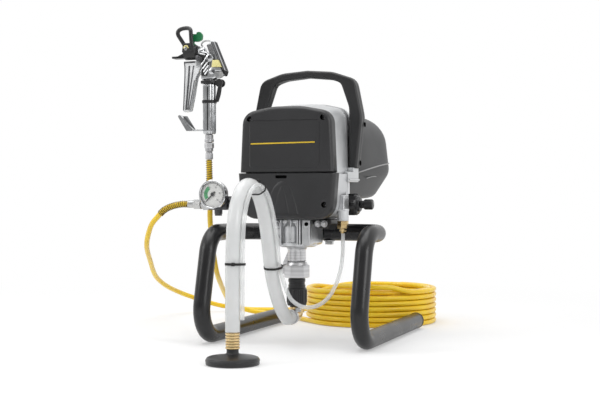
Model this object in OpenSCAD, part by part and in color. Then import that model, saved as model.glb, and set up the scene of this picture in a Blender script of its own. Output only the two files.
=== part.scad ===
// Airless paint sprayer: motor, gear case and piston pump on a bent tube frame,
// with suction line, return line, high-pressure hose and spray gun.
// Frame: +Z up, +X to the machine's right, -Y to its front; origin on the floor, on the mid-plane.

/* [Frame] */
// Outside diameter of the frame tube
tube_od = 29; // [24:1:32]
// Wall of the frame tube
tube_wall = 1.8; // [1.2:0.1:3]
// Distance from the mid-plane to each side tube's centre line
frame_half = 137; // [125:1:165]
// Centre-line radius of every frame bend
bend_r = 45; // [38:1:50]
// Forward rake of the front legs in degrees
rake = 15; // [8:1:20]
// Height of the top rails' centre line
rail_z = 186; // [175:1:223]
// Place of the cross tube behind the origin
cross_y = 100; // [96:1:104]
// Rear end of the runners
runner_end_y = 318; // [265:1:320]

/* [Body] */
// Half width of the lower front cover
low_half = 88; // [84:1:106]
// Half width of the upper front cover
up_half = 83; // [80:1:100]
// Height from the body's base to the seam of the front covers
low_h = 78; // [74:1:94]
// Height from the seam to the crown of the body
up_h = 109; // [95:1:131]
// Depth of the front covers
cover_depth = 24; // [22:1:29]
// Wall of the plastic covers
cover_wall = 2.5; // [2:0.1:3.5]
// Wall of the gear case
case_wall = 4; // [3:0.5:6]
// Length of the motor cover
motor_cover_l = 222; // [200:1:266]

/* [Handle] */
// Height of the grip's crown above the seam
handle_h = 179; // [170:1:215]
// Height of the grip bar's section
grip_h = 13; // [11:0.5:16]
// Front to back size of both handle halves together
handle_d = 26; // [22:1:31]

/* [Gear train] */
// Tooth module
gear_m = 1.5; // [1.25:0.05:1.8]
// Teeth on the motor pinion and on the small intermediate gear
teeth_small = 14; // [12:1:16]
// Teeth on the crank gear and on the large intermediate gear
teeth_large = 42; // [36:1:46]
// Crank throw, half of the pump stroke
throw = 6; // [4:0.5:6.5]

/* [Pump] */
// Radius of the piston rod
rod_r = 6; // [5:0.5:7]
// Radius of the pump cylinder's bore
bore_r = 10; // [9:0.5:11.5]
// Width of the pump casting
casting_w = 68; // [60:1:80]
// Height of the pump casting below the body
casting_h = 47; // [40:1:54]
// Size across the flats of the cylinder nut
nut_af = 38; // [36:1:44]
// Radius of the inlet ball
ball_r = 7; // [6:0.5:7.5]

/* [Gauge] */
// Outside diameter of the gauge
gauge_d = 50; // [40:1:56]
// Depth of the gauge case
gauge_depth = 20; // [17:1:22]

/* [Suction foot] */
// Outside diameter of the strainer foot
foot_d = 80; // [66:1:96]
// Height of the foot's rim
rim_h = 9; // [7:0.5:12]

/* [Hoses] */
// Outside diameter of the suction hose
suction_d = 22; // [18:0.5:23]
// Outside diameter of the return hose
return_d = 6.8; // [5.5:0.1:7.2]
// Outside diameter of the high-pressure hose
hp_d = 9.6; // [8:0.1:10]
// Layers in the stored coil
coil_layers = 7; // [5:1:8]
// Turns in each layer
coil_columns = 3; // [2:1:4]
// Outside radius of the stored coil
coil_r = 129; // [110:1:130]
// Wire of the hose guards' springs
guard_wire = 1.6; // [1.2:0.1:1.8]

/* [Gun] */
// Width of the grip across the gun's plane
grip_w = 20; // [17:1:24]
// Thickness of the gun's body
gun_w = 22; // [18:1:26]
// Thickness of the trigger plates
trigger_w = 14; // [12:1:17]
// Radius of the turning spray tip
tip_r = 6; // [5:0.5:6.5]

/* [Hidden] */
$fn = 48;

// ---- clearances ----
run_fit = 0.05;      // radial clearance of a turning or sliding fit
seat_gap = 0.1;      // radial clearance of a part that seats in another
body_gap = 0.4;      // gap between pieces that move past each other
screw_r = 2.5;       // shank radius of the body screws
screw_head_r = 4.5;  // head radius of the body screws
screw_head_h = 3;
bolt_r = 4;          // shank radius of the frame bolts

// ---- body, derived ----
base_z = rail_z + 23;                // underside of the body, on the saddles
seam_z = base_z + low_h;
top_z = seam_z + up_h;
front_y = -9;                        // front face of the covers
case_y = front_y + cover_depth;      // front edge of the gear case
wall_y = case_y + 45;                // front of the wall that carries the crank
wall_t = 10;
flange_y = 110;                      // joint of the gear case and the motor flange
motor_y = 122;                       // front edge of the motor cover
narrow_half = up_half - 7;           // half width of the case between the handle legs
step_z = seam_z - 15;                // the case's lower part is narrower below this, behind step_y
step_y = wall_y + 4;
step_half = low_half - 18;
top_corner = 24;
crest = 13;                          // rise of the gear case behind the cover
low_corner = 28;
bar_z0 = base_z + 15;                // manifold bar in the front compartment
bar_z1 = bar_z0 + 26;
bar_z = (bar_z0 + bar_z1) / 2;
pump_y = wall_y - 14;                // axis of the pump
cover_screws = [[-65, top_z - 19], [65, top_z - 19], [-67, bar_z - 3], [67, bar_z - 3]];
handle_y = 108;                      // joint of the handle halves
handle_foot_z = seam_z + 10;
handle_top_z = seam_z + handle_h;
handle_screw_z = [handle_foot_z + 8, handle_foot_z + 74];
handle_screw_y = handle_y + handle_d / 4;

// ---- gear train, derived ----
centres = gear_m * (teeth_small + teeth_large) / 2 + 0.2;
crank_z = base_z + 70;
crank_y = wall_y + wall_t;
motor_z = seam_z + 40;
mid_z = (crank_z + motor_z) / 2;
mid_x = sqrt(pow(centres, 2) - pow((motor_z - crank_z) / 2, 2));
gear_y0 = wall_y + wall_t + 4;       // crank gear and small intermediate gear
gear_w = 10;
wheel_y0 = gear_y0 + gear_w + 1;     // large intermediate gear and motor pinion
wheel_w = 9;
shaft_hex = 10;                      // size across flats of the gear seats

// ---- pump, derived ----
casting_z = base_z - casting_h;
casting_d = 58;
cyl_z = casting_z - 52;              // lower end of the pump cylinder
nut_h = 27;
inlet_z1 = cyl_z - 1;
inlet_z0 = inlet_z1 - 47;
seat_r = ball_r - 2;
seat_z = inlet_z1 - 27;
ball_z = seat_z + sqrt(pow(ball_r, 2) - pow(seat_r, 2)) + 0.02;
elbow_z = inlet_z0 - 16;
elbow_mouth_y = pump_y - 22;
piston_z = cyl_z + 18;
yoke_h = 14;                         // height of the eye around the crank pin
pin_r = 4;

// ---- gauge and outlet, derived ----
block_x0 = -low_half - 72;
block_x1 = -low_half - 36;
block_y0 = pump_y - 12;
block_y1 = pump_y + 12;
gauge_x = (block_x0 + block_x1) / 2;
gauge_z = bar_z + 14;
gauge_y = block_y0 - gauge_depth - 2;
outlet_z = bar_z - 3;
outlet_end_x = block_x0 - 43;

// ---- foot, hoses and gun, derived ----
foot_x = -3;
foot_y = -221;
coupling_z0 = rim_h + 13;
coupling_z1 = coupling_z0 + 26;
gun_x = -158;
gun_y = 36;
grip_z0 = 355;
grip_z1 = 449;
barrel_z = 498;
tip_x = -187;
coil_c = [22, 413];
wind_r = coil_r - hp_d / 2;
coil_in = -133;
coil_out = 75;
climb_at = 150;
climb_half = 25;

suction_route = [[-3, -221, 48], [-3, -221, 74], [-3, -221, 148], [-3, -220, 165],
    [-3, -216, 205], [-3, -205, 235], [-3, -186, 257], [-3, -162, 265], [-3, -138, 261],
    [-3, -117, 248], [-3, -100, 226], [-3, -87, 200], [-3, -77, 170], [-2.5, -68, 135],
    [-2, -54, 102], [-1, -32, 70], [0, -12, 52], [0, 0, 46], [0, 24, 46]];
return_route = [[82, 46, 186], [82, 46, 176], [82, 44, 150], [80, 38, 124], [75, 27, 100],
    [68, 13, 82], [58, -3, 71], [46, -17, 67], [34, -30, 70], [24, -42, 80], [19, -52, 95],
    [16, -62, 114], [13, -69, 135], [12.5, -77, 170], [12.5, -87, 200], [12.5, -100, 226],
    [12.5, -117, 248], [12.5, -138, 261], [12.5, -162, 265], [12.5, -186, 257],
    [12.5, -205, 235], [12.5, -216, 205], [12.5, -220, 165], [12.5, -221, 148],
    [12.5, -221, 66]];
pump_route = [[-203, 46, 234], [-215, 46, 234], [-232, 46, 231], [-250, 48, 224],
    [-268, 56, 211], [-290, 72, 193], [-320, 114, 158], [-352, 190, 124], [-387, 281, 88],
    [-396, 345, 64], [-394, 406, 45], [-375, 445, 30], [-345, 470, 17], [-312, 488, 9],
    [-275, 500, 5], [-235, 508, 5], [-185, 524, 5], [-140, 538, 9], [-100, 548, 19],
    [-65, 552, 33], [-30, 552, 48], [0, 548, 58], [22, 542, 61.5]];
gun_route = [[-158, 36, 311], [-158, 36, 297], [-159, 39, 279], [-162, 47, 264],
    [-167, 61, 248], [-173, 73, 228], [-180, 88, 205], [-191, 122, 160], [-204, 168, 112],
    [-220, 220, 86], [-256, 329, 51], [-266, 372, 33], [-259, 403, 19], [-238, 425, 9.5],
    [-208, 433, 5.6], [-180, 428, 5], [-165, 418, 5]];

// ---- functions ----
function unit(v) = v / norm(v);
function last(v) = v[len(v) - 1];
function turn_to(a, b) = let (d = (b - a) % 360) d > 180 ? d - 360 : d < -180 ? d + 360 : d;

// one corner of an outline, rounded to radius r
function corner(a, p, b, r, n) =
    let (u = unit(a - p), v = unit(b - p), half = acos(u * v) / 2,
         c = p + unit(u + v) * r / sin(half), s = p + u * r / tan(half) - c,
         e = p + v * r / tan(half) - c, a0 = atan2(s.y, s.x), da = turn_to(a0, atan2(e.y, e.x)))
    r == 0 ? [p] : [for (i = [0:n]) c + r * [cos(a0 + da * i / n), sin(a0 + da * i / n)]];

// outline through corners given as [x, y, radius]
function rounded(q, n = 6) =
    let (k = len(q))
    [for (i = [0:k - 1])
        each corner([q[(i + k - 1) % k].x, q[(i + k - 1) % k].y], [q[i].x, q[i].y],
                    [q[(i + 1) % k].x, q[(i + 1) % k].y], q[i].z, n)];

function mirrored(q) = concat(q, [for (i = [len(q) - 1:-1:0]) [-q[i].x, q[i].y, q[i].z]]);

function case_outline(inset, rise) = rounded(mirrored([
    [-up_half + 0.5 + inset, seam_z - 1, 0],
    [-up_half + 5 + inset, top_z - 9 - inset + rise, top_corner - inset],
    [-26, top_z + 1 - inset + rise, 120]]));
function upper_outline(inset) = case_outline(inset, 0);

function lower_outline(inset) = rounded(mirrored([
    [-low_half + 2 + inset, seam_z + 1, 0],
    [-low_half + 8 + inset, base_z + 1 + inset, low_corner - inset]]));

function motor_outline(inset) = rounded(mirrored([
    [-low_half + inset, seam_z - 6, 30],
    [-low_half + 34 + inset, base_z + 34 + inset, 24],
    ]), 8);

// ---- swept tubes ----
function heading(p, i) = unit(p[min(i + 1, len(p) - 1)] - p[max(i - 1, 0)]);
function sideways(p, i = 0, prev = [0, 0, 0], acc = []) =
    i == len(p) ? acc :
    let (t = heading(p, i), seed = i == 0 ? (abs(t.z) < 0.8 ? [0, 0, 1] : [0, 1, 0]) : prev,
         s = unit(seed - (seed * t) * t))
    sideways(p, i + 1, s, concat(acc, [s]));

module swept_tube(p, r, sides) {
    side = sideways(p);
    rings = len(p);
    points = [for (i = [0:rings - 1]) for (j = [0:sides - 1])
        let (a = 360 * (j + 0.5) / sides, t = heading(p, i))
        p[i] + r * (cos(a) * side[i] + sin(a) * cross(t, side[i]))];
    walls = [for (i = [0:rings - 2]) for (j = [0:sides - 1])
        let (a = i * sides + j, b = i * sides + (j + 1) % sides)
        each [[a, a + sides, b], [b, a + sides, b + sides]]];
    ends = [for (j = [1:sides - 2]) each [[0, j, j + 1],
        [rings * sides - sides, rings * sides - sides + j + 1, rings * sides - sides + j]]];
    polyhedron(points = points, faces = concat(walls, ends), convexity = 10);
}

// a spring wound round a route, from distance s0 to s1 along its first stretch
function along(p, s, i = 0) =
    let (d = norm(p[i + 1] - p[i]))
    s <= d || i == len(p) - 2 ? p[i] + (p[i + 1] - p[i]) * s / d : along(p, s - d, i + 1);
function spring_points(p, s0, s1, radius, curls) =
    [for (k = [0:curls * 8])
        let (s = s0 + (s1 - s0) * k / (curls * 8), a = along(p, s - 1), b = along(p, s + 1),
             t = unit(b - a), u = unit(cross(t, [0.3, 1, 0.2])), w = cross(t, u))
        along(p, s) + radius * (cos(45 * k) * u + sin(45 * k) * w)];

// ---- coil of the high-pressure hose ----
function ease(x) = x <= 0 ? 0 : x >= 1 ? 1 : x * x * (3 - 2 * x);
function climbed(a) =
    let (n = floor((a - climb_at + climb_half) / 360),
         x = (a - climb_at + climb_half - 360 * n) / (2 * climb_half))
    max(0, n + ease(x));
coil_end = coil_out + 360 * (coil_layers - 1);
coil_steps = round((coil_end - coil_in) / 15);
function coil_at(a) = [coil_c.x + wind_r * cos(a), coil_c.y + wind_r * sin(a),
    hp_d / 2 + hp_d * 1.05 * climbed(a)];
function coil_along(a) = [-sin(a), cos(a), 0];
coil_points = concat(
    [coil_at(coil_in) - hp_d * coil_along(coil_in)],
    [for (i = [0:coil_steps]) coil_at(coil_in + (coil_end - coil_in) * i / coil_steps)],
    [coil_at(coil_end) + hp_d * coil_along(coil_end)]);
coil_start = coil_points[0];
coil_finish = last(coil_points);

// least gap between a wound tube's surfaces, past its own neighbouring rings
function least_gap(p, d, skip) =
    min([for (i = [0:len(p) - 1]) for (j = [i + skip:1:len(p) - 1]) norm(p[i] - p[j])]) - d;

pump_guard_points = spring_points(pump_route, 2, 54, hp_d / 2 + guard_wire / 2 - 0.05, 14);
gun_guard_points = spring_points(gun_route, 2, 36, hp_d / 2 + guard_wire / 2 - 0.05, 10);
echo(coil_least_gap = least_gap(coil_points, hp_d, 12));
echo(pump_guard_least_gap = least_gap(pump_guard_points, guard_wire, 5));
echo(gun_guard_least_gap = least_gap(gun_guard_points, guard_wire, 5));

// ---- small shapes ----
module cyl_x(r, x0, x1, y, z) {
    translate([x0, y, z]) rotate([0, 90, 0]) cylinder(r = r, h = x1 - x0);
}
module cyl_y(r, y0, y1, x, z) {
    translate([x, y1, z]) rotate([90, 0, 0]) cylinder(r = r, h = y1 - y0);
}
module cyl_z(r, z0, z1, x, y) {
    translate([x, y, z0]) cylinder(r = r, h = z1 - z0);
}
module hex_x(af, x0, x1, y, z) {
    translate([x0, y, z]) rotate([0, 90, 0]) cylinder(r = af / sqrt(3), h = x1 - x0, $fn = 6);
}
module hex_y(af, y0, y1, x, z) {
    translate([x, y1, z]) rotate([90, 0, 0]) cylinder(r = af / sqrt(3), h = y1 - y0, $fn = 6);
}
module hex_z(af, z0, z1, x, y) {
    translate([x, y, z0]) cylinder(r = af / sqrt(3), h = z1 - z0, $fn = 6);
}
module box(a, b) {
    translate(a) cube(b - a);
}
// a flat outline in X and Z, made solid from y0 to y1
module slab(points, y0, y1) {
    translate([0, y1, 0]) rotate([90, 0, 0]) linear_extrude(height = y1 - y0) polygon(points);
}
module on_both_sides() {
    children();
    mirror([1, 0, 0]) children();
}

// ---- frame ----
leg_tangent = [-bend_r * cos(rake), bend_r * sin(rake)];
contact_y = 5;
low_bend = [contact_y, tube_od / 2 + bend_r];
leg_start = low_bend + leg_tangent;
leg_l = (rail_z - bend_r + leg_tangent.y - leg_start.y) / cos(rake);
high_bend = [leg_start.x + leg_l * sin(rake) - leg_tangent.x, rail_z - bend_r];

module tube_ring() {
    difference() {
        circle(d = tube_od);
        circle(d = tube_od - 2 * tube_wall);
    }
}
module straight_tube(l) {
    linear_extrude(height = l) tube_ring();
}
module bent_tube(a0, da) {
    rotate([0, 0, a0]) rotate_extrude(angle = da) translate([bend_r, 0]) tube_ring();
}
// the leg is drawn down a little, so that it enters both bends
leg_step = 0.05;
module leg_tube() {
    translate([0, 0, -1]) linear_extrude(height = leg_l + 2) difference() {
        circle(d = tube_od - 2 * leg_step);
        circle(d = tube_od - 2 * tube_wall + 2 * leg_step);
    }
}
module side_tubes() {
    translate([frame_half, low_bend.x, tube_od / 2]) rotate([-90, 0, 0])
        straight_tube(runner_end_y - low_bend.x);
    translate([frame_half, low_bend.x, low_bend.y]) rotate([90, 0, 90])
        bent_tube(270, -90 - rake);
    translate([frame_half, leg_start.x, leg_start.y]) rotate([-rake, 0, 0]) leg_tube();
    translate([frame_half, high_bend.x, high_bend.y]) rotate([90, 0, 90])
        bent_tube(90, 90 - rake);
    translate([frame_half, high_bend.x, rail_z]) rotate([-90, 0, 0])
        straight_tube(cross_y - bend_r - high_bend.x);
    translate([frame_half - bend_r, cross_y - bend_r, rail_z]) bent_tube(0, 90);
}
module frame_tube() {
    color("#1c1c1e") difference() {
        union() {
            on_both_sides() side_tubes();
            translate([bend_r - frame_half, cross_y, rail_z]) rotate([0, 90, 0])
                straight_tube(2 * (frame_half - bend_r));
        }
        on_both_sides() cyl_z(bolt_r + seat_gap, rail_z - tube_od, rail_z + tube_od, 40, cross_y);
    }
}
module runner_end_caps() {
    plug_r = tube_od / 2 - tube_wall - seat_gap;
    color("#141415") on_both_sides() translate([frame_half, runner_end_y, tube_od / 2]) {
        translate([0, -12, 0]) rotate([-90, 0, 0]) cylinder(r = plug_r, h = 12);
        rotate([-90, 0, 0]) rotate_extrude() polygon(concat([[0, 0]],
            [for (a = [0:15:90]) [tube_od / 2 - 3 + 3 * cos(a), 5 + 3 * sin(a)]],
            [[0, 8]], [[0, 0]]));
        rotate([-90, 0, 0]) cylinder(d = tube_od, h = 5);
    }
}
module frame_saddles() {
    color("#2a2a2c") on_both_sides() difference() {
        box([24, cross_y - 14, rail_z], [56, cross_y + 14, base_z]);
        cyl_x(tube_od / 2 + seat_gap, 20, 60, cross_y, rail_z);
        cyl_z(bolt_r + seat_gap, rail_z, base_z + 1, 40, cross_y);
    }
}
module frame_bolts() {
    head_z = rail_z - tube_od / 2 - 0.5;
    color("#8d9094") on_both_sides() {
        hex_z(13, head_z - 6, head_z, 40, cross_y);
        cyl_z(bolt_r, head_z - 0.5, base_z + 12, 40, cross_y);
    }
}

// ---- gear case and covers ----
module screw_y(x, z, y0, l) {
    cyl_y(screw_head_r, y0, y0 + screw_head_h, x, z);
    cyl_y(screw_r, y0 + screw_head_h - 0.5, y0 + l, x, z);
}
module case_shape(grow, y0, y1) {
    slab(lower_outline(1.5 + grow), y0, min(y1, step_y - grow));
    if (y1 > step_y - grow) {
        difference() {
            slab(lower_outline(1.5 + grow), step_y - grow - 1, y1);
            box([-200, step_y - grow - 2, base_z - 1], [-step_half + grow, y1 + 1, step_z + grow]);
            box([step_half - grow, step_y - grow - 2, base_z - 1], [200, y1 + 1, step_z + grow]);
        }
    }
}
module gear_housing() {
    color("#b9bcbe") difference() {
        union() {
            slab(upper_outline(2), case_y, 94);
            slab(case_outline(2, crest / 3), case_y + 18, 94);
            slab(case_outline(2, 2 * crest / 3), case_y + 38, 94);
            difference() {
                slab(case_outline(2, crest), wall_y + 14, flange_y);
                box([narrow_half, 73, handle_foot_z], [200, flange_y + 1, top_z + crest]);
                box([-200, 73, handle_foot_z], [-narrow_half, flange_y + 1, top_z + crest]);
            }
            case_shape(0, case_y, flange_y);
            for (i = [0, 1]) cyl_y(6, case_y + 0.5, wall_y, cover_screws[i].x, cover_screws[i].y);
        }
        difference() {
            slab(upper_outline(2 + case_wall), case_y - 1, wall_y);
            for (i = [0, 1]) cyl_y(6, case_y + 0.5, wall_y, cover_screws[i].x, cover_screws[i].y);
        }
        slab(lower_outline(1.5 + case_wall), case_y - 1, wall_y);
        box([-step_half + case_wall, wall_y + wall_t, base_z + 14],
            [step_half - case_wall, flange_y + 1, seam_z - 20]);
        box([-narrow_half + case_wall + 1, wall_y + wall_t, seam_z - 21],
            [narrow_half - case_wall - 1, flange_y + 1, top_z - 34]);
        box([-casting_w / 2 - 1, pump_y - 14, base_z - 1],
            [casting_w / 2 + 1, wall_y, base_z + 10]);
        box([-200, pump_y - 14, bar_z0 - 1], [200, wall_y, bar_z1 + 1]);
        cyl_z(9.5 + seat_gap, base_z - 3, bar_z0, low_half - 6, pump_y);
        for (i = [0, 1])
            cyl_y(screw_r + seat_gap, case_y - 1, wall_y - 6, cover_screws[i].x, cover_screws[i].y);
        cyl_y(14, wall_y - 1, wall_y + wall_t + 1, 0, crank_z);
        cyl_y(8, wall_y + 4, wall_y + wall_t + 1, mid_x, mid_z);
        on_both_sides() cyl_z(bolt_r + seat_gap, base_z - 1, base_z + 13, 40, cross_y);
    }
}
module motor_flange() {
    color("#a9acae") difference() {
        union() {
            difference() {
                slab(case_outline(1.4, crest), flange_y, motor_y);
                box([narrow_half, flange_y - 1, handle_foot_z], [200, motor_y + 1, top_z + crest]);
                box([-200, flange_y - 1, handle_foot_z],
                    [-narrow_half, motor_y + 1, top_z + crest]);
            }
            difference() {
                slab(lower_outline(1.5), flange_y, motor_y);
                box([-200, flange_y - 1, base_z - 1], [-step_half, motor_y + 1, step_z]);
                box([step_half, flange_y - 1, base_z - 1], [200, motor_y + 1, step_z]);
            }
        }
        on_both_sides() for (z = handle_screw_z)
            cyl_x(screw_r + seat_gap, narrow_half - 8, narrow_half + 1, handle_screw_y, z);
        cyl_y(12, flange_y - 1, motor_y + 1, 0, motor_z);
        cyl_y(11, flange_y - 1, motor_y - 3, 0, crank_z);
        cyl_y(8, flange_y - 1, motor_y - 4, mid_x, mid_z);
    }
}
module cover_boss(p) {
    cyl_y(6.5, front_y + 1, case_y, p.x, p.y);
}
module cover_hole(p) {
    cyl_y(screw_r + seat_gap, front_y - 1, case_y + 1, p.x, p.y);
    cyl_y(screw_head_r + seat_gap, front_y - 1, front_y + 5, p.x, p.y);
}
module cover_shell(outer, inner, y0) {
    difference() {
        slab(outer, y0 + 3, case_y);
        slab(inner, y0 + cover_wall + 2, case_y + 1);
    }
}
module upper_front_cover() {
    rim = [for (i = [0, 1]) cover_screws[i]];
    color("#2e2f31") difference() {
        union() {
            slab(upper_outline(0), front_y + 4, case_y);
            slab(upper_outline(1.6), front_y + 1.5, front_y + 5);
            slab(upper_outline(5), front_y, front_y + 2);
        }
        difference() {
            slab(upper_outline(cover_wall), front_y + cover_wall + 2, case_y + 1);
            for (p = rim) cover_boss(p);
        }
        box([-200, front_y - 1, seam_z - 3], [200, case_y + 1, seam_z + 0.2]);
        for (p = rim) cover_hole(p);
        slab(rounded([[-62, seam_z + 12, 5], [58, seam_z + 12, 5], [58, top_z - 30, 5],
            [-62, top_z - 30, 5]]), front_y - 1, front_y + 0.6);
    }
}
module lower_front_cover() {
    rim = [for (i = [2, 3]) cover_screws[i]];
    color("#2e2f31") difference() {
        union() {
            slab(lower_outline(0), front_y + 4, case_y);
            slab(lower_outline(1.6), front_y + 1.5, front_y + 5);
            slab(lower_outline(5), front_y, front_y + 2);
            slab(rounded([[-18, base_z + 10, 6], [22, base_z + 10, 6], [2, seam_z - 10, 8]]),
                front_y - 1.5, front_y + 2);
        }
        difference() {
            slab(lower_outline(cover_wall), front_y + cover_wall + 2, case_y + 1);
            for (p = rim) cover_boss(p);
        }
        box([-200, front_y - 3, seam_z - 0.2], [200, case_y + 1, seam_z + 3]);
        for (p = rim) cover_hole(p);
        slab(rounded([[-13, seam_z - 9, 2.4], [9, seam_z - 9, 2.4], [9, seam_z - 4, 2.4],
            [-13, seam_z - 4, 2.4]]), front_y - 3, front_y + 2);
    }
}
module body_screws() {
    color("#55585b") {
        for (p = cover_screws) screw_y(p.x, p.y, front_y + 1.5, case_y - front_y + 8);
        on_both_sides() for (z = handle_screw_z) {
            cyl_x(screw_r, narrow_half - 7, narrow_half + 10, handle_screw_y, z);
            cyl_x(screw_head_r, narrow_half + 9.5, narrow_half + 12.5, handle_screw_y, z);
        }
    }
}

// ---- handle ----
function handle_outer() = [[narrow_half + 14, handle_foot_z, 3], [narrow_half + 23, seam_z + 96, 60],
    [narrow_half + 9, handle_top_z - 16, 16], [44, handle_top_z - 4, 60], [0, handle_top_z, 0]];
function handle_inner() = [[0, handle_top_z - grip_h, 0], [42, handle_top_z - grip_h - 4, 50],
    [narrow_half - 15, handle_top_z - 24, 10], [narrow_half, top_z + 4, 20],
    [narrow_half, handle_foot_z, 0]];
function handle_outline() =
    let (right = rounded(concat(handle_outer(), handle_inner()), 8),
         n = len(right), outer = [for (p = right) p])
    outer;
module handle_half(y0, y1) {
    on_both_sides() slab(handle_outline(), y0, y1);
}
module handle_front_half() {
    color("#242527") handle_half(handle_y - handle_d / 2, handle_y);
}
module handle_rear_half() {
    color("#242527") difference() {
        handle_half(handle_y, handle_y + handle_d / 2);
        on_both_sides() for (z = handle_screw_z) {
            cyl_x(screw_r + seat_gap, narrow_half - 1, narrow_half + 30, handle_screw_y, z);
            cyl_x(screw_head_r + seat_gap, narrow_half + 9.4, narrow_half + 40,
                handle_screw_y, z);
        }
    }
}

// ---- motor cover and motor ----
function cover_section(inset) = rounded(mirrored([
    [-low_half - 1 + inset, seam_z + 8, 40], [-low_half + 26 + inset, base_z + 33 + inset, 20],
    ]), 6);
cover_stations = [[0, 3], [40, 0.5], [110, 0], [160, 0.6], [185, 2], [198, 4], [206, 9], [212, 18]];
function cover_ring(inset) = rounded([
    [low_half - inset, seam_z + 6, 30], [low_half - 12 - inset, top_z + 3 - inset, 58],
    [-low_half + 12 + inset, top_z + 3 - inset, 58], [-low_half + inset, seam_z + 6, 30],
    [-low_half + 32 + inset * 0.7, base_z + 34 + inset, 18],
    [low_half - 32 - inset * 0.7, base_z + 34 + inset, 18]], 6);
module cover_hull(inset) {
    hull() for (s = cover_stations) {
        y = motor_y + s[0] * (motor_cover_l - inset) / 212;
        slab(cover_ring(s[1] + inset), y - (s[0] > 0 ? 0.4 : 0), y + (s[0] > 0 ? 0 : 0.4));
    }
}
module motor_cover() {
    color("#3a3b3d") difference() {
        cover_hull(0);
        difference() {
            cover_hull(cover_wall);
            box([-200, motor_y - 2, base_z], [200, motor_y - 1, top_z + 10]);
        }
        box([-low_half + 20, motor_y, base_z + 44], [low_half - 20, motor_y + 3, top_z - 22]);
        for (i = [-3:3]) box([i * 12 - 3, motor_y + motor_cover_l - 9, motor_z - 18],
            [i * 12 + 3, motor_y + motor_cover_l + 2, motor_z + 34]);
        for (i = [0:5]) box([-42, motor_y + 30 + i * 13, base_z + 30],
            [42, motor_y + 36 + i * 13, base_z + 40]);
        cyl_y(8.2, motor_y + motor_cover_l - 14, motor_y + motor_cover_l + 2, -30, gland_z);
    }
}
gland_z = motor_z - 34;
can_r = 48;
module motor_can() {
    color("#303236") difference() {
        cyl_y(can_r, motor_y, motor_y + 92, 0, motor_z);
        cyl_y(can_r - 3, motor_y - 1, motor_y + 88, 0, motor_z);
        cyl_y(9, motor_y + 87, motor_y + 93, 0, motor_z);
    }
}
module motor_armature() {
    color("#8a5a3a") {
        cyl_y(5, gear_y0 + 4, motor_y + 122, 0, motor_z);
        cyl_y(32, motor_y + 14, motor_y + 66, 0, motor_z);
        cyl_y(14, motor_y + 65.5, motor_y + 78, 0, motor_z);
    }
}
module cooling_fan() {
    hub_y = motor_y + 100;
    color("#1f1f20") {
        difference() {
            cyl_y(14, hub_y, hub_y + 16, 0, motor_z);
            cyl_y(5, hub_y - 1, hub_y + 17, 0, motor_z);
        }
        for (i = [0:8]) translate([0, hub_y, motor_z]) rotate([0, i * 40, 0])
            box([-1, 2, 13], [1, 14, 44]);
    }
}
module ring_y(outer, inner, y0, y1, x, z) {
    difference() {
        cyl_y(outer, y0, y1, x, z);
        cyl_y(inner, y0 - 1, y1 + 1, x, z);
    }
}
module shaft_bearings() {
    color("#a7abb0") {
        ring_y(12, 5 + run_fit, flange_y + 1, motor_y - 1, 0, motor_z);
        ring_y(9, 5 + run_fit, motor_y + 88, motor_y + 92, 0, motor_z);
        ring_y(14, 8 + run_fit, wall_y + 1, wall_y + wall_t - 1, 0, crank_z);
        ring_y(11, 6 + run_fit, flange_y, motor_y - 3, 0, crank_z);
        ring_y(8, 4 + run_fit, wall_y + 4, wall_y + wall_t, mid_x, mid_z);
        ring_y(8, 4 + run_fit, flange_y, motor_y - 4, mid_x, mid_z);
    }
}

// ---- gears ----
function tooth(n, i, root, tip, thick) =
    let (a = 360 / n, c = a * i)
    [for (q = [[root, -0.31 * thick], [gear_m * n / 2, -0.235 * thick], [tip, -0.12 * thick],
               [tip, 0.12 * thick], [gear_m * n / 2, 0.235 * thick], [root, 0.31 * thick]])
        q[0] * [cos(c + a * q[1]), sin(c + a * q[1])]];
module gear_blank(n, y0, y1, x, z, phase) {
    pitch = gear_m * n / 2;
    translate([x, y1, z]) rotate([90, 0, 0]) rotate([0, 0, phase])
        linear_extrude(height = y1 - y0)
        polygon([for (i = [0:n - 1]) each tooth(n, i, pitch - 1.2 * gear_m,
            pitch + 0.9 * gear_m, 1)]);
}
module hex_bored(y0, y1, x, z) {
    difference() {
        children();
        hex_y(shaft_hex + 0.04, y0 - 1, y1 + 1, x, z);
    }
}
// direction from the crank to the intermediate shaft, and on to the motor
up_angle = atan2(mid_z - crank_z, mid_x);
back_angle = atan2(motor_z - mid_z, -mid_x);
module crank_gear() {
    color("#c9a227") hex_bored(gear_y0, gear_y0 + gear_w, 0, crank_z)
        gear_blank(teeth_large, gear_y0, gear_y0 + gear_w, 0, crank_z, up_angle);
}
module intermediate_gear() {
    half_small = 180 / teeth_small;
    color("#9aa0a6") {
        gear_blank(teeth_small, gear_y0 - 0.5, wheel_y0 + 1, mid_x, mid_z,
            up_angle + 180 + half_small);
        gear_blank(teeth_large, wheel_y0, wheel_y0 + wheel_w, mid_x, mid_z, back_angle);
        cyl_y(4, wall_y + 4.5, motor_y - 4.5, mid_x, mid_z);
    }
}
module motor_pinion() {
    color("#7d8287") hex_bored(wheel_y0 - 0.5, wheel_y0 + wheel_w + 0.5, 0, motor_z)
        gear_blank(teeth_small, wheel_y0 - 0.5, wheel_y0 + wheel_w + 0.5, 0, motor_z,
        back_angle + 180 + 180 / teeth_small);
}
module crankshaft() {
    color("#8f9499") {
        cyl_y(6, wheel_y0, motor_y - 3.5, 0, crank_z);
        cyl_y(8, wall_y - 1, gear_y0 - 0.5, 0, crank_z);
        hex_y(shaft_hex, gear_y0 - 1, gear_y0 + gear_w + 2, 0, crank_z);
        cyl_y(18, wall_y - 7, wall_y - 0.5, 0, crank_z);
        cyl_y(pin_r, pump_y - 6, wall_y - 6.5, throw, crank_z);
    }
}

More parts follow.
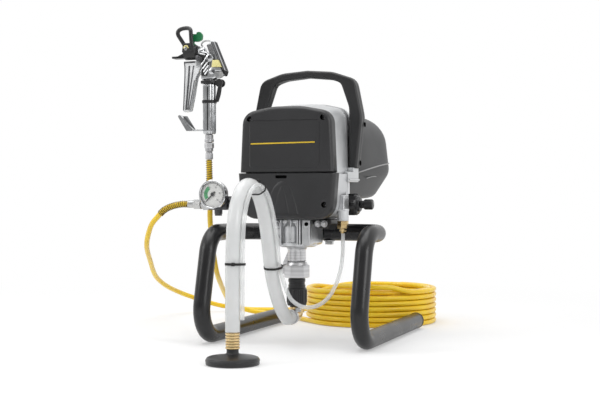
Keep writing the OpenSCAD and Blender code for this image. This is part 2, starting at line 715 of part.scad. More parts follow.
// ---- pump ----
module piston_rod() {
    eye_r = pin_r + 2 * throw + 0.6;
    color("#d0d3d6") {
        difference() {
            union() {
                slab(rounded([[-16 - throw, crank_z - eye_r - 4, 3],
                    [16 + throw, crank_z - eye_r - 4, 3], [16 + throw, crank_z + eye_r + 4, 3],
                    [-16 - throw, crank_z + eye_r + 4, 3]]), pump_y - 5, pump_y + 4);
                cyl_z(rod_r, piston_z, crank_z - eye_r - 2, 0, pump_y);
            }
            box([-throw - pin_r - 3, pump_y - 8, crank_z - eye_r],
                [throw + pin_r + 3, pump_y + 8, crank_z + eye_r]);
        }
        cyl_z(bore_r - run_fit, piston_z, piston_z + 12, 0, pump_y);
    }
}
module rod_packings() {
    color("#c8a24a") difference() {
        cyl_z(11, bar_z1 - 12, bar_z1, 0, pump_y);
        cyl_z(rod_r + run_fit, bar_z1 - 13, bar_z1 + 1, 0, pump_y);
    }
}
module pump_manifold() {
    front = pump_y - casting_d / 2;
    color("#b4b7ba") difference() {
        union() {
            box([-low_half, pump_y - 13, bar_z0], [low_half, wall_y, bar_z1]);
            box([-casting_w / 2, pump_y - 13.5, base_z - 1], [casting_w / 2, wall_y, bar_z0 + 1]);
            for (i = [2, 3])
                cyl_y(6, case_y + 0.5, pump_y - 12, cover_screws[i].x, cover_screws[i].y);
            slab(rounded([[-casting_w / 2, base_z - 0.2, 0], [casting_w / 2, base_z - 0.2, 0],
                [casting_w / 2, casting_z + 5, 0], [casting_w / 2 - 16, casting_z, 0],
                [-casting_w / 2 + 16, casting_z, 0], [-casting_w / 2, casting_z + 5, 0]]),
                front + 5, cross_y - tube_od / 2 - 3);
            cyl_z(13.4, casting_z + 1, base_z - 0.2, -4, front + 13);
            cyl_z(casting_w / 2 - 1, casting_z + 0.6, casting_z + 9, 0, front + 30.4);
            for (x = [-18.6, 13.6, casting_w / 2 - 2.4])
                box([x - 2, front - 2, casting_z + 5], [x + 2, front + 9, base_z - 0.2]);
            difference() {
                slab(rounded([[20.4, base_z - 0.2, 0], [33.8, base_z - 0.2, 0],
                    [32.8, base_z - 14, 5], [21.4, base_z - 14, 5]]), front - 1, front + 8);
                cyl_y(3, front - 2, front + 6, 27.2, base_z - 8);
            }
            cyl_z(9.5, base_z - 2, bar_z0 + 2, low_half - 6, pump_y);
        }
        cyl_z(rod_r + 0.5, casting_z - 1, bar_z1 + 1, 0, pump_y);
        cyl_z(11, bar_z1 - 12, bar_z1 + 1, 0, pump_y);
        cyl_z(13, casting_z - 1, casting_z + 12, 0, pump_y);
        cyl_x(3, -low_half - 1, -rod_r + 1, pump_y, outlet_z);
        cyl_x(3, rod_r - 1, low_half - 3, pump_y, outlet_z);
        cyl_z(3, base_z - 3, outlet_z, low_half - 6, pump_y);
        for (i = [2, 3])
            cyl_y(screw_r + seat_gap, case_y, wall_y - 6, cover_screws[i].x, cover_screws[i].y);
    }
}
module pump_cylinder() {
    color("#c3c6c9") difference() {
        union() {
            cyl_z(13 - seat_gap, casting_z - 1, casting_z + 11.5, 0, pump_y);
            cyl_z(16, cyl_z + nut_h, casting_z - 0.2, 0, pump_y);
            cyl_z(14, cyl_z, cyl_z + nut_h + 1, 0, pump_y);
        }
        cyl_z(bore_r, cyl_z - 1, casting_z + 13, 0, pump_y);
    }
}
module cylinder_nut() {
    color("#c9ccce") difference() {
        union() {
            hex_z(nut_af, cyl_z + 0.2, cyl_z + nut_h - 0.2, 0, pump_y);
            cyl_x(8, -nut_af / 2 - 5, -nut_af / 2 + 3, pump_y, cyl_z + 14);
        }
        cyl_z(14 + seat_gap, cyl_z - 1, cyl_z + nut_h + 1, 0, pump_y);
        cyl_x(3 + run_fit, -nut_af / 2 - 6, -13, pump_y, cyl_z + 14);
    }
}
module inlet_pusher() {
    color("#c0392b") {
        cyl_x(3, -nut_af / 2 - 10, -nut_af / 2 + 1.5, pump_y, cyl_z + 14);
        cyl_x(6, -nut_af / 2 - 13, -nut_af / 2 - 9, pump_y, cyl_z + 14);
    }
}
module inlet_housing() {
    color("#1d1d1f") difference() {
        union() {
            cyl_z(14.5, inlet_z1 - 17, inlet_z1, 0, pump_y);
            cyl_z(16.5, inlet_z0, inlet_z1 - 16, 0, pump_y);
            cyl_z(10, inlet_z0 - 14, inlet_z0 + 1, 0, pump_y);
        }
        cyl_z(ball_r + 1.2, seat_z, inlet_z1 + 1, 0, pump_y);
        cyl_z(seat_r, inlet_z0 - 15, seat_z + 1, 0, pump_y);
    }
}
module inlet_ball() {
    color("#d9dbdd") translate([0, pump_y, ball_z]) sphere(r = ball_r);
}
module suction_elbow() {
    color("#b59a4c") difference() {
        union() {
            cyl_z(12.5, elbow_z - 11, inlet_z0 - 0.3, 0, pump_y);
            cyl_y(suction_d / 2, elbow_mouth_y, pump_y, 0, elbow_z);
            cyl_y(suction_d / 2 + 2, elbow_mouth_y + 2, elbow_mouth_y + 8, 0, elbow_z);
        }
        cyl_z(10 + seat_gap, elbow_z + 1, inlet_z0 + 1, 0, pump_y);
        cyl_z(7, elbow_z - 5, elbow_z + 2, 0, pump_y);
        cyl_y(7, elbow_mouth_y - 1, pump_y, 0, elbow_z);
    }
}
module return_fitting() {
    color("#c8a24a") difference() {
        union() {
            hex_z(16.5, base_z - 14, base_z - 2.2, low_half - 6, pump_y);
            cyl_z(6, base_z - 20, base_z - 13, low_half - 6, pump_y);
            cyl_z(4.4, base_z - 23, base_z - 19, low_half - 6, pump_y);
        }
        cyl_z(2, base_z - 24, base_z - 2, low_half - 6, pump_y);
    }
}

// ---- gauge and outlet ----
module gauge_block() {
    color("#8c8a86") difference() {
        union() {
            box([block_x0, block_y0, bar_z0], [block_x1, block_y1, bar_z1 - 2]);
            cyl_x(9, block_x1 - 1, -low_half - 0.2, pump_y, bar_z);
            hex_x(22, block_x1 + 4, block_x1 + 16, pump_y, bar_z);
            cyl_y(11, block_y0, block_y1 - 4, gauge_x, gauge_z);
            cyl_z(7, bar_z0 - 6, bar_z0 + 1, gauge_x - 3, pump_y);
            hex_z(11, bar_z0 - 10, bar_z0 - 5, gauge_x - 3, pump_y);
        }
        cyl_x(3, block_x0 - 1, -low_half, pump_y, outlet_z);
        cyl_y(4 + seat_gap, block_y0 - 1, block_y0 + 12, gauge_x, gauge_z);
    }
}
module gauge_case() {
    r = gauge_d / 2;
    color("#cfd2d4") difference() {
        union() {
            translate([gauge_x, gauge_y, gauge_z]) rotate([-90, 0, 0]) rotate_extrude()
                polygon([[0, 4], [r - 3.2, 4], [r - 3.2, 0], [r - 1, 0], [r, 1.2], [r, 5],
                    [r - 1.5, 6.5], [r - 1.5, gauge_depth - 4], [r - 5, gauge_depth], [0, gauge_depth]]);
            cyl_y(4, gauge_y + gauge_depth - 1, block_y0 + 10, gauge_x, gauge_z);
            hex_y(14, gauge_y + gauge_depth - 0.5, block_y0 - 0.2, gauge_x, gauge_z);
        }
        cyl_y(2.5, gauge_y + 3, gauge_y + gauge_depth - 4, gauge_x, gauge_z);
    }
}
module gauge_dial() {
    color("#f2f2ee") difference() {
        cyl_y(gauge_d / 2 - 3.4, gauge_y + 3.2, gauge_y + 4, gauge_x, gauge_z);
        cyl_y(2 + run_fit, gauge_y + 3, gauge_y + 5, gauge_x, gauge_z);
    }
}
module gauge_needle() {
    color("#161616") {
        cyl_y(2, gauge_y + 1.7, gauge_y + 6, gauge_x, gauge_z);
        translate([gauge_x, 0, gauge_z]) rotate([0, -135, 0])
            slab([[-0.9, -6], [0.9, -6], [0.35, gauge_d / 2 - 7], [-0.35, gauge_d / 2 - 7]],
                gauge_y + 1.8, gauge_y + 2.6);
    }
}
module gauge_lens() {
    color("#dfe8ee", 0.4) cyl_y(gauge_d / 2 - 3.2, gauge_y + 0.3, gauge_y + 1.3, gauge_x, gauge_z);
}
module outlet_fitting() {
    color("#c4c6c8") difference() {
        union() {
            hex_x(20, block_x0 - 12, block_x0 - 0.2, pump_y, outlet_z);
            cyl_x(7, block_x0 - 18, block_x0 - 11, pump_y, outlet_z);
            hex_x(17, block_x0 - 30, block_x0 - 17, pump_y, outlet_z);
            cyl_x(6.6, outlet_end_x, block_x0 - 29, pump_y, outlet_z);
        }
        cyl_x(3, outlet_end_x - 1, block_x0 + 1, pump_y, outlet_z);
    }
}

// ---- controls on the right side ----
valve_y = step_y + 21;
valve_z = base_z + 25;
knob_x = step_half + 9;
module prime_valve() {
    color("#26272a") difference() {
        union() {
            cyl_x(13, step_half + 0.2, knob_x - body_gap, valve_y, valve_z);
            cyl_x(4, step_half + 4, knob_x + 22, valve_y, valve_z);
            cyl_x(3, step_half + 4, knob_x + 36, valve_y, valve_z);
        }
        cyl_x(1.2, knob_x + 30, knob_x + 37, valve_y, valve_z);
    }
}
module prime_knob() {
    color("#19191b") difference() {
        union() {
            translate([knob_x, valve_y, valve_z]) rotate([0, 90, 0])
                linear_extrude(height = 18)
                polygon([for (a = [0:7.5:352.5]) (17.5 + 1.8 * cos(6 * a)) * [cos(a), sin(a)]]);
            cyl_x(14, knob_x + 17, knob_x + 22, valve_y, valve_z);
        }
        cyl_x(4 + run_fit, knob_x - 1, knob_x + 23, valve_y, valve_z);
    }
}
module pressure_knob() {
    color("#19191b") difference() {
        union() {
            cyl_x(6.5, knob_x + 22 + body_gap, knob_x + 36, valve_y, valve_z);
            cyl_x(8, knob_x + 28, knob_x + 44, valve_y, valve_z);
            for (i = [0:5]) translate([0, valve_y, valve_z]) rotate([i * 60, 0, 0])
                box([knob_x + 30, -1, 6], [knob_x + 42, 1, 8.8]);
        }
        cyl_x(3 + run_fit, knob_x + 20, knob_x + 37, valve_y, valve_z);
    }
}
switch_y = step_y + 20;
pivot_z = step_z - 8.5;
module switch_box() {
    color("#222325") mirror([1, 0, 0]) {
        difference() {
            box([step_half + 0.1, switch_y - 17, pivot_z - 8.3],
                [step_half + 26, switch_y + 17, pivot_z + 8.3]);
            box([step_half + 14, switch_y - 12, pivot_z - 6.4],
                [step_half + 27, switch_y + 12, pivot_z + 6.4]);
        }
        on_both_ends(switch_y) cyl_y(1.5, switch_y - 12.5, switch_y - 9.5,
            step_half + 20, pivot_z);
    }
}
module on_both_ends(y) {
    children();
    translate([0, 2 * y, 0]) mirror([0, 1, 0]) children();
}
module switch_rocker() {
    color("#c01f1f") mirror([1, 0, 0]) difference() {
        translate([step_half + 20, switch_y + 11, pivot_z]) rotate([90, 0, 0])
            linear_extrude(height = 22) polygon([[-3, -3], [3, -4.2], [6.4, -4.2], [5, 0.2],
                [8, 4.2], [3, 4.2], [-3, 3]]);
        on_both_ends(switch_y) cyl_y(1.5 + run_fit, switch_y - 12, switch_y - 9,
            step_half + 20, pivot_z);
    }
}
module control_board() {
    floor_z = base_z + 38;
    color("#2f6b3a") {
        box([-40, motor_y + 50, floor_z + 4], [40, motor_y + 120, floor_z + 6]);
        cyl_x(8, -24, 14, motor_y + 68, floor_z + 13.9);
        box([20, motor_y + 62, floor_z + 5.8], [34, motor_y + 84, floor_z + 18]);
        for (x = [-32, 32]) cyl_z(3, floor_z - 1.4, floor_z + 4.4, x, motor_y + 112);
    }
}
module cable_gland() {
    y = motor_y + motor_cover_l;
    color("#1a1a1b") difference() {
        union() {
            cyl_y(8, y - 12, y + 1, -30, gland_z);
            cyl_y(11, y + 0.2, y + 5, -30, gland_z);
            cyl_y(8.5, y + 4, y + 14, -30, gland_z);
        }
        cyl_y(4, y - 13, y + 15, -30, gland_z);
    }
}

// ---- suction foot ----
module foot_coupling() {
    color("#c8a24a") difference() {
        union() {
            cyl_z(9.4, coupling_z0, coupling_z1, foot_x, foot_y);
            for (i = [0:4])
                cyl_z(10.6, coupling_z0 + 1 + i * 5, coupling_z0 + 4 + i * 5, foot_x, foot_y);
        }
        cyl_z(6 + seat_gap, coupling_z0 - 1, coupling_z0 + 14, foot_x, foot_y);
        cyl_z(5, coupling_z0 + 13, coupling_z1 + 1, foot_x, foot_y);
    }
}
module strainer_foot() {
    r = foot_d / 2;
    color("#1b1b1d") translate([foot_x, foot_y, 0]) difference() {
        union() {
            rotate_extrude() polygon([[5, coupling_z0 + 12], [6, coupling_z0 + 12],
                [6, coupling_z0 - 0.2], [9, coupling_z0 - 0.2], [9, coupling_z0 - 5], [r - 4, rim_h + 2.5],
                [r - 1, rim_h + 0.5], [r, rim_h - 2], [r, 1], [r - 1, 0], [r - 6, 0],
                [r - 6, rim_h - 1], [9, coupling_z0 - 9], [5, coupling_z0 - 7]]);
            translate([0, 0, 2]) cylinder(r = r - 5.5, h = 2.5);
        }
        for (ring = [[8, 6], [16, 12], [24, 18]]) for (i = [0:ring[1] - 1])
            rotate([0, 0, i * 360 / ring[1]]) translate([ring[0], 0, 1]) cylinder(r = 2.6, h = 5);
    }
}

// ---- hoses ----
module suction_hose() {
    color("#dfe3e4", 0.8) swept_tube(suction_route, suction_d / 2, 12);
}
module return_hose() {
    color("#e8ecee", 0.8) swept_tube(return_route, return_d / 2, 8);
}
module band_loop(i) {
    p = suction_route[i];
    t = unit(suction_route[i + 1] - suction_route[i - 1]);
    pitch = atan2(t.z, t.y);
    inner_r = suction_d / 2 - 0.02;
    tube_r = return_d / 2 - 0.02;
    translate(p) rotate([pitch - 90, 0, 0]) difference() {
        union() {
            cylinder(r = inner_r + 1.2, h = 4, center = true);
            translate([15.5, 0, 0]) cylinder(r = tube_r + 1.2, h = 4, center = true);
            translate([8, -3, -2]) cube([8, 6, 4]);
        }
        cylinder(r = inner_r, h = 5, center = true);
        translate([15.5, 0, 0]) cylinder(r = tube_r, h = 5, center = true);
    }
}
module hose_bands() {
    color("#151515") {
        band_loop(2);
        band_loop(8);
        band_loop(13);
    }
}
module hose_run_pump() {
    color("#e0b21c") swept_tube(concat(pump_route, [coil_finish]), hp_d / 2, 8);
}
module hose_run_gun() {
    color("#e0b21c") swept_tube(concat(gun_route, [coil_start - 24 * coil_along(coil_in),
        coil_start]), hp_d / 2, 8);
}
module hose_coil() {
    inner = coil_r - coil_columns * hp_d;
    color("#e0b21c") {
        swept_tube(coil_points, hp_d / 2, 6);
        translate([coil_c.x, coil_c.y, 0]) rotate_extrude()
            polygon(rounded([[inner, 0, 2], [coil_r - hp_d - 0.5, 0, 2],
                [coil_r - hp_d - 0.5, hp_d * (1 + 1.05 * (coil_layers - 1)), 4],
                [inner, hp_d * (1 + 1.05 * (coil_layers - 1)), 4]]));
    }
}
module hose_guards() {
    color("#c9ccce") {
        swept_tube(pump_guard_points, guard_wire / 2, 6);
        swept_tube(gun_guard_points, guard_wire / 2, 6);
    }
}

// ---- spray gun ----
module gun_slab(points, w) {
    slab(points, gun_y - w / 2, gun_y + w / 2);
}
module gun_body() {
    color("#c9cccf") difference() {
        union() {
            cyl_x(10, -178, -160, gun_y, barrel_z);
            gun_slab(rounded([[-172, 506, 4], [-164, 506, 4], [-150, 492, 6], [-140, 470, 8],
                [-136, 452, 4], [-148, grip_z1 + 0.02, 2], [-169, grip_z1 + 0.02, 2],
                [-177, 468, 6], [-177.6, 486, 4]]), gun_w);
            gun_slab(rounded([[-166, 508, 2], [-163, 520, 5], [-147, 521, 5], [-122, 464, 4],
                [-126, 455, 4], [-140, 455, 4], [-153, 512, 4]]), 14);
        }
        cyl_x(3, -179, -150, gun_y, barrel_z);
        gun_slab([[-200, 488], [-170, 488], [-164.5, 464], [-168, 446], [-200, 446]],
            trigger_w + 2 * body_gap);
    }
    color("#c9cccf") {
        cyl_y(2.5 - run_fit, gun_y - gun_w / 2 + 0.2, gun_y + gun_w / 2 - 0.2, -175, 477);
    }
}
module gun_handle() {
    color("#c2c5c8") difference() {
        union() {
            translate([gun_x, gun_y, grip_z0]) linear_extrude(height = grip_z1 - grip_z0)
                polygon(rounded([[-10, -grip_w / 2, 6], [11, -grip_w / 2, 6],
                    [11, grip_w / 2, 6], [-10, grip_w / 2, 6]]));
            cyl_z(15.5, 443, 447.5, gun_x + 0.5, gun_y);
            box([gun_x + 9, gun_y - 6, 440], [gun_x + 15.5, gun_y + 6, 446]);
            on_both_ends(gun_y) cyl_y(7, gun_y - 6, gun_y - 3, lock_x, 443);
            cyl_y(2.5 - run_fit, gun_y - 4, gun_y + 4, lock_x, 443);
        }
        cyl_z(5 + run_fit, grip_z0 - 1, grip_z0 + 16, gun_x, gun_y);
        cyl_z(3, grip_z0 + 10, grip_z1 + 1, gun_x, gun_y);
    }
}
module gun_swivel() {
    color("#cdd0d2") difference() {
        union() {
            cyl_z(5, 335, grip_z0 + 15, gun_x, gun_y);
            hex_z(15, 324, 340, gun_x, gun_y);
            cyl_z(6.6, 311.4, 325, gun_x, gun_y);
        }
        cyl_z(2.5, 311, grip_z0 + 16, gun_x, gun_y);
    }
}
trigger_wall = 3;
module trigger() {
    color("#d3d6d8") difference() {
        union() {
            gun_slab(rounded([[-203, 481, 3], [-172, 483, 4], [-171, 471, 4], [-180.5, 454, 6],
                [-186.5, 426, 20], [-193, 395.5, 2], [-204.5, 394, 2], [-201.5, 462, 20]]),
                trigger_w);
        }
        cyl_y(2.5, gun_y - gun_w, gun_y + gun_w, -175, 477);
        gun_slab([[-200.5, 399], [-180, 399], [-168, 462], [-197.5, 462]],
            trigger_w - 2 * trigger_wall);
    }
}
module trigger_guard() {
    color("#8b8e91") {
        difference() {
            gun_slab(rounded([[-216, 388, 2], [-201, 388, 2], [-184, 361, 3], [-198, 361, 3]]), 12);
            gun_slab([[-209, 380], [-204, 384], [-190, 365], [-195, 362]], 4);
        }
        cyl_x(1.6, -188, gun_x - 10, gun_y, 362.5);
    }
}
lock_x = gun_x + 21;
module trigger_lock() {
    color("#1c1c1e") difference() {
        union() {
            cyl_y(5, gun_y - 2.6, gun_y + 2.6, lock_x, 443);
            gun_slab(rounded([[gun_x + 18, 444, 1], [gun_x + 24, 442, 2], [gun_x + 20, 424, 6],
                [gun_x + 17, 411, 1.6], [gun_x + 13, 411, 1.6], [gun_x + 14, 425, 6]]), 5.2);
        }
        cyl_y(2.5, gun_y - 7, gun_y + 7, lock_x, 443);
    }
}
module tip_guard() {
    color("#222224") difference() {
        union() {
            cyl_x(13, -203, -178.4, gun_y, barrel_z);
            gun_slab(rounded([[-217, 531, 3], [-212, 538, 4], [-197, 541.5, 5], [-188, 540, 4],
                [-181.5, 534, 3], [-181.5, 530.6, 0], [-210, 530.6, 3], [-199, 514.5, 2],
                [-194.4, 514.5, 0], [-194.4, 505, 0], [-203.4, 505, 0], [-203.4, 510.4, 2]]), 8);
            box([-191.5, gun_y - 12, 500], [-186.5, gun_y - 7, 536]);
            box([-191.5, gun_y - 12, 531], [-186.5, gun_y + 4, 536]);
            gun_slab(rounded([[-203, 496, 0], [-184, 496, 0], [-184, 487.6, 0], [-226, 487.6, 1.5],
                [-226, 490.4, 1]]), 18);
        }
        cyl_z(tip_r + run_fit, 480, 513.4, tip_x - 3, gun_y);
        cyl_x(4, -206, -190, gun_y, barrel_z);
        cyl_x(5, -182, -170, gun_y, barrel_z);
    }
}
module spray_tip() {
    color("#1f7a45") difference() {
        union() {
            cyl_z(tip_r, 490, 513, tip_x - 3, gun_y);
            cyl_z(4, 512, 530, tip_x - 3, gun_y);
            gun_slab(rounded([[-191, 516, 0], [-176, 516.5, 3], [-171, 521, 3],
                [-170, 526, 3], [-174, 529.8, 3], [-191, 529.8, 0]]), 6);
        }
        cyl_x(0.6, -198, -180, gun_y, barrel_z);
    }
}

frame_tube();
runner_end_caps();
frame_saddles();
frame_bolts();
gear_housing();
motor_flange();
upper_front_cover();
lower_front_cover();
body_screws();
handle_front_half();
handle_rear_half();
motor_cover();
motor_can();
motor_armature();
motor_pinion();
cooling_fan();
shaft_bearings();
intermediate_gear();
crankshaft();
crank_gear();
piston_rod();
rod_packings();
control_board();
cable_gland();
switch_box();
switch_rocker();
prime_valve();
prime_knob();
pressure_knob();
pump_manifold();
pump_cylinder();
cylinder_nut();
inlet_housing();
inlet_ball();
inlet_pusher();
suction_elbow();
return_fitting();
gauge_block();
gauge_case();
gauge_dial();
gauge_needle();
gauge_lens();
outlet_fitting();
foot_coupling();
strainer_foot();
suction_hose();
return_hose();
hose_bands();
hose_run_pump();
hose_run_gun();
hose_coil();
hose_guards();
gun_body();
gun_handle();
gun_swivel();
trigger();
trigger_lock();
trigger_guard();
tip_guard();
spray_tip();
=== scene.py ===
# %% [markdown]
# # An airless paint sprayer
# A motor drives a small piston pump. The pump draws paint up a wide clear hose from a strainer
# foot and pushes it, at high pressure, through a long thin hose to a spray gun. This lesson builds
# the machine piece by piece around its engineering frame, and gives every piece its real finish.

# %% Start with the engineering frame
import math

import bmesh
import bpy
from mathutils import Matrix, Vector


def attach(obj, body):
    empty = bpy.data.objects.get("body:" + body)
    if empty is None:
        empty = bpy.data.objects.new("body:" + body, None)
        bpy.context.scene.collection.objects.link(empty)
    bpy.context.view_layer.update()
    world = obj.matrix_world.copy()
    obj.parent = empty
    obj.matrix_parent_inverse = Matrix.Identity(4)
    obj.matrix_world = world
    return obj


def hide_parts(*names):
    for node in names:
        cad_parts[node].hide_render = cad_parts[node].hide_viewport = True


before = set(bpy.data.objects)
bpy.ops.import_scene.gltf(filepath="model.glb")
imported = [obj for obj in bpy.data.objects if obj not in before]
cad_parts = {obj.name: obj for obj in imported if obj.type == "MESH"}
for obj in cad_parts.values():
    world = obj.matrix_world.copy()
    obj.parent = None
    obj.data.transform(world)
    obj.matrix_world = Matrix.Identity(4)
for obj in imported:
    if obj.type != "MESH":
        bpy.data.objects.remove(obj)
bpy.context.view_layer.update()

MM = 0.001       # sizes are written in millimetres
WELD = 0.0005    # points nearer than this are one point, in millimetres

# %% [markdown]
# ## Camera
# The camera stands low and well to the right of the machine, so the front cover and a little of
# the right side show. Its lens is long, which keeps the frame's two legs nearly the same size.

# %% Place the camera
VIEW_WIDTH, VIEW_DROP = 600, 5    # the view's width, and how far it is shifted down, in pixels
camera_data = bpy.data.cameras.new("viewpoint")
camera_data.lens = 69.0
camera_data.sensor_width = 36.0
camera_data.shift_y = -VIEW_DROP / VIEW_WIDTH
camera_data.clip_end = 60
camera = bpy.data.objects.new("viewpoint", camera_data)
camera.location = (0.671, -1.782, 0.250)
camera.rotation_euler = (math.radians(90), 0, math.radians(20))
bpy.context.scene.collection.objects.link(camera)
bpy.context.scene.camera = camera
bpy.context.scene.view_settings.view_transform = "Standard"
print("camera at", tuple(round(v, 3) for v in camera.location))

# %% [markdown]
# ## Finishes: shared effects
# Real surfaces are never one even colour. Four effects are used again and again, so each is a
# node group: fine grain for moulded and coated parts, long streaks for turned and brushed metal,
# worn edges, which are found by comparing the surface with a version whose corners are round, and
# painted shade, which darkens the colour in deep corners where little light reaches.

# %% Helpers for node trees
FLOAT, VECTOR = "NodeSocketFloat", "NodeSocketVector"


def add_group(name, inputs, outputs):
    tree = bpy.data.node_groups.new(name, "ShaderNodeTree")
    for label, kind, value in inputs:
        socket = tree.interface.new_socket(name=label, in_out="INPUT", socket_type=kind)
        socket.default_value = value
    for label in outputs:
        tree.interface.new_socket(name=label, in_out="OUTPUT", socket_type=FLOAT)
    return tree, tree.nodes.new("NodeGroupInput"), tree.nodes.new("NodeGroupOutput")


def add_node(tree, kind, settings=None, **values):
    """A node with its settings; each value goes to the input of that name."""
    node = tree.nodes.new(kind)
    for key, value in (settings or {}).items():
        setattr(node, key, value)
    for key, value in values.items():
        node.inputs[key.replace("_", " ")].default_value = value
    return node


def join(tree, *links):
    """Each link is (node, output, node, input)."""
    for source, output, target, entry in links:
        tree.links.new(source.outputs[output], target.inputs[entry])


def coordinates(tree):
    return tree.nodes.new("ShaderNodeTexCoord")


# %% Group 1: fine grain with broad patches
grain, grain_in, grain_out = add_group(
    "fine_grain", [("Size", FLOAT, 1200.0), ("Patch size", FLOAT, 14.0)], ["Height", "Patches"])
place = coordinates(grain)
fine = add_node(grain, "ShaderNodeTexNoise", Detail=3.0, Roughness=0.6)
broad = add_node(grain, "ShaderNodeTexNoise", Detail=4.0, Roughness=0.55)
join(grain, (place, "Object", fine, "Vector"), (place, "Object", broad, "Vector"),
     (grain_in, "Size", fine, "Scale"), (grain_in, "Patch size", broad, "Scale"),
     (fine, "Fac", grain_out, "Height"), (broad, "Fac", grain_out, "Patches"))

# %% Group 2: streaks along one axis, for brushed and turned metal
streaks, streaks_in, streaks_out = add_group(
    "streaks", [("Stretch", VECTOR, (40.0, 40.0, 1500.0))], ["Height", "Tone"])
place = coordinates(streaks)
scaled = add_node(streaks, "ShaderNodeVectorMath", {"operation": "MULTIPLY"})
lines = add_node(streaks, "ShaderNodeTexNoise", Scale=1.0, Detail=2.0)
tone = add_node(streaks, "ShaderNodeTexNoise", Scale=0.13, Detail=3.0)
join(streaks, (place, "Object", scaled, 0), (streaks_in, "Stretch", scaled, 1),
     (scaled, "Vector", lines, "Vector"), (scaled, "Vector", tone, "Vector"),
     (lines, "Fac", streaks_out, "Height"), (tone, "Fac", streaks_out, "Tone"))

# %% Group 3: worn edges
wear, wear_in, wear_out = add_group(
    "worn_edges", [("Radius", FLOAT, 0.0010), ("Amount", FLOAT, 0.6)], ["Mask"])
soft_corner = add_node(wear, "ShaderNodeBevel", {"samples": 4})
truth = add_node(wear, "ShaderNodeNewGeometry")
match = add_node(wear, "ShaderNodeVectorMath", {"operation": "DOT_PRODUCT"})
edge = add_node(wear, "ShaderNodeMapRange", From_Min=0.97, From_Max=0.80)
place = coordinates(wear)
breakup = add_node(wear, "ShaderNodeTexNoise", Scale=160.0, Detail=4.0, Roughness=0.65)
patchy = add_node(wear, "ShaderNodeMapRange", From_Min=0.42, From_Max=0.62)
both = add_node(wear, "ShaderNodeMath", {"operation": "MULTIPLY"})
scaled = add_node(wear, "ShaderNodeMath", {"operation": "MULTIPLY", "use_clamp": True})
join(wear, (wear_in, "Radius", soft_corner, "Radius"), (soft_corner, "Normal", match, 0),
     (truth, "True Normal", match, 1), (match, "Value", edge, "Value"),
     (place, "Object", breakup, "Vector"), (breakup, "Fac", patchy, "Value"),
     (edge, "Result", both, 0), (patchy, "Result", both, 1), (both, 0, scaled, 0),
     (wear_in, "Amount", scaled, 1), (scaled, 0, wear_out, "Mask"))

# %% Group 4: painted shade in deep corners
corners, corners_in, corners_out = add_group(
    "painted_corner_shade", [("Reach", FLOAT, 0.004), ("Amount", FLOAT, 0.5)], ["Mask"])
# Painted shade: the colour is darkened where ambient occlusion finds a point closed in.
open_air = add_node(corners, "ShaderNodeAmbientOcclusion", {"samples": 6})
closed_in = add_node(corners, "ShaderNodeMapRange", From_Min=0.85, From_Max=0.35)
depth_of = add_node(corners, "ShaderNodeMath", {"operation": "MULTIPLY", "use_clamp": True})
join(corners, (corners_in, "Reach", open_air, "Distance"), (open_air, "AO", closed_in, "Value"),
     (closed_in, "Result", depth_of, 0), (corners_in, "Amount", depth_of, 1),
     (depth_of, 0, corners_out, "Mask"))
print("shared effects:", [g.name for g in (grain, streaks, wear, corners)])

# %% [markdown]
# ## Finishes: the materials
# Each finish is a Principled shader with its own colour pair, roughness range and bump. The dark
# tone and the light tone of a pair are close together: they only break up the surface a little.

# %% One function for all finishes with grain or streaks
FINISH = {}
TONE_STOPS = (0.32, 0.68)    # where the noise has reached the dark and the light tone
NOISE_RANGE = (0.3, 0.7)     # the part of the noise that changes the roughness
# Painted shade: deep corners are darkened towards this share of the dark tone.
PAINTED_SHADE_TONE = 0.12            # how much of the dark tone is left in deep corners


def rgb(color):
    """One number is a grey."""
    return (color,) * 3 if isinstance(color, float) else color


def finish(name, dark, light, rough, metal=0.0, grain_size=1200.0, patch=14.0,
           bump=0.1, depth=0.0002, stretch=None, wear_amount=0.0, worn=0.3, painted_shade=0.0,
           sockets=None):
    """A Principled material with two close tones, uneven gloss, grain, wear and painted shade."""
    material = FINISH[name] = bpy.data.materials.new(name)
    material.use_nodes = True
    tree = material.node_tree
    shader = tree.nodes["Principled BSDF"]
    for key, value in {"Metallic": metal, **(sockets or {})}.items():
        shader.inputs[key].default_value = value
    if stretch:
        source, tone_name = add_node(tree, "ShaderNodeGroup", {"node_tree": streaks},
                                     Stretch=stretch), "Tone"
    else:
        source, tone_name = add_node(tree, "ShaderNodeGroup", {"node_tree": grain},
                                     Size=grain_size, Patch_size=patch), "Patches"
    ramp = tree.nodes.new("ShaderNodeValToRGB")
    for stop, position, tone_color in zip(ramp.color_ramp.elements, TONE_STOPS, (dark, light)):
        stop.position = position
        stop.color = (*rgb(tone_color), 1)
    gloss = add_node(tree, "ShaderNodeMapRange", From_Min=NOISE_RANGE[0],
                     From_Max=NOISE_RANGE[1], To_Min=rough[0], To_Max=rough[1])
    relief = add_node(tree, "ShaderNodeBump", Strength=bump, Distance=depth)
    join(tree, (source, tone_name, ramp, "Fac"), (source, tone_name, gloss, "Value"),
         (source, "Height", relief, "Height"), (relief, "Normal", shader, "Normal"),
         (gloss, "Result", shader, "Roughness"))
    color = ramp.outputs["Color"]
    # Worn edges take the worn colour; deep corners take painted shade.
    for group, amount, target in ((wear, wear_amount, rgb(worn)),
                                  (corners, painted_shade, tuple(c * PAINTED_SHADE_TONE for c in rgb(dark)))):
        if amount:
            mask = add_node(tree, "ShaderNodeGroup", {"node_tree": group}, Amount=amount)
            mix = add_node(tree, "ShaderNodeMix", {"data_type": "RGBA"})
            mix.inputs[7].default_value = (*target, 1)
            tree.links.new(mask.outputs["Mask"], mix.inputs["Factor"])
            tree.links.new(color, mix.inputs[6])
            color = mix.outputs[2]
    tree.links.new(color, shader.inputs["Base Color"])
    return material


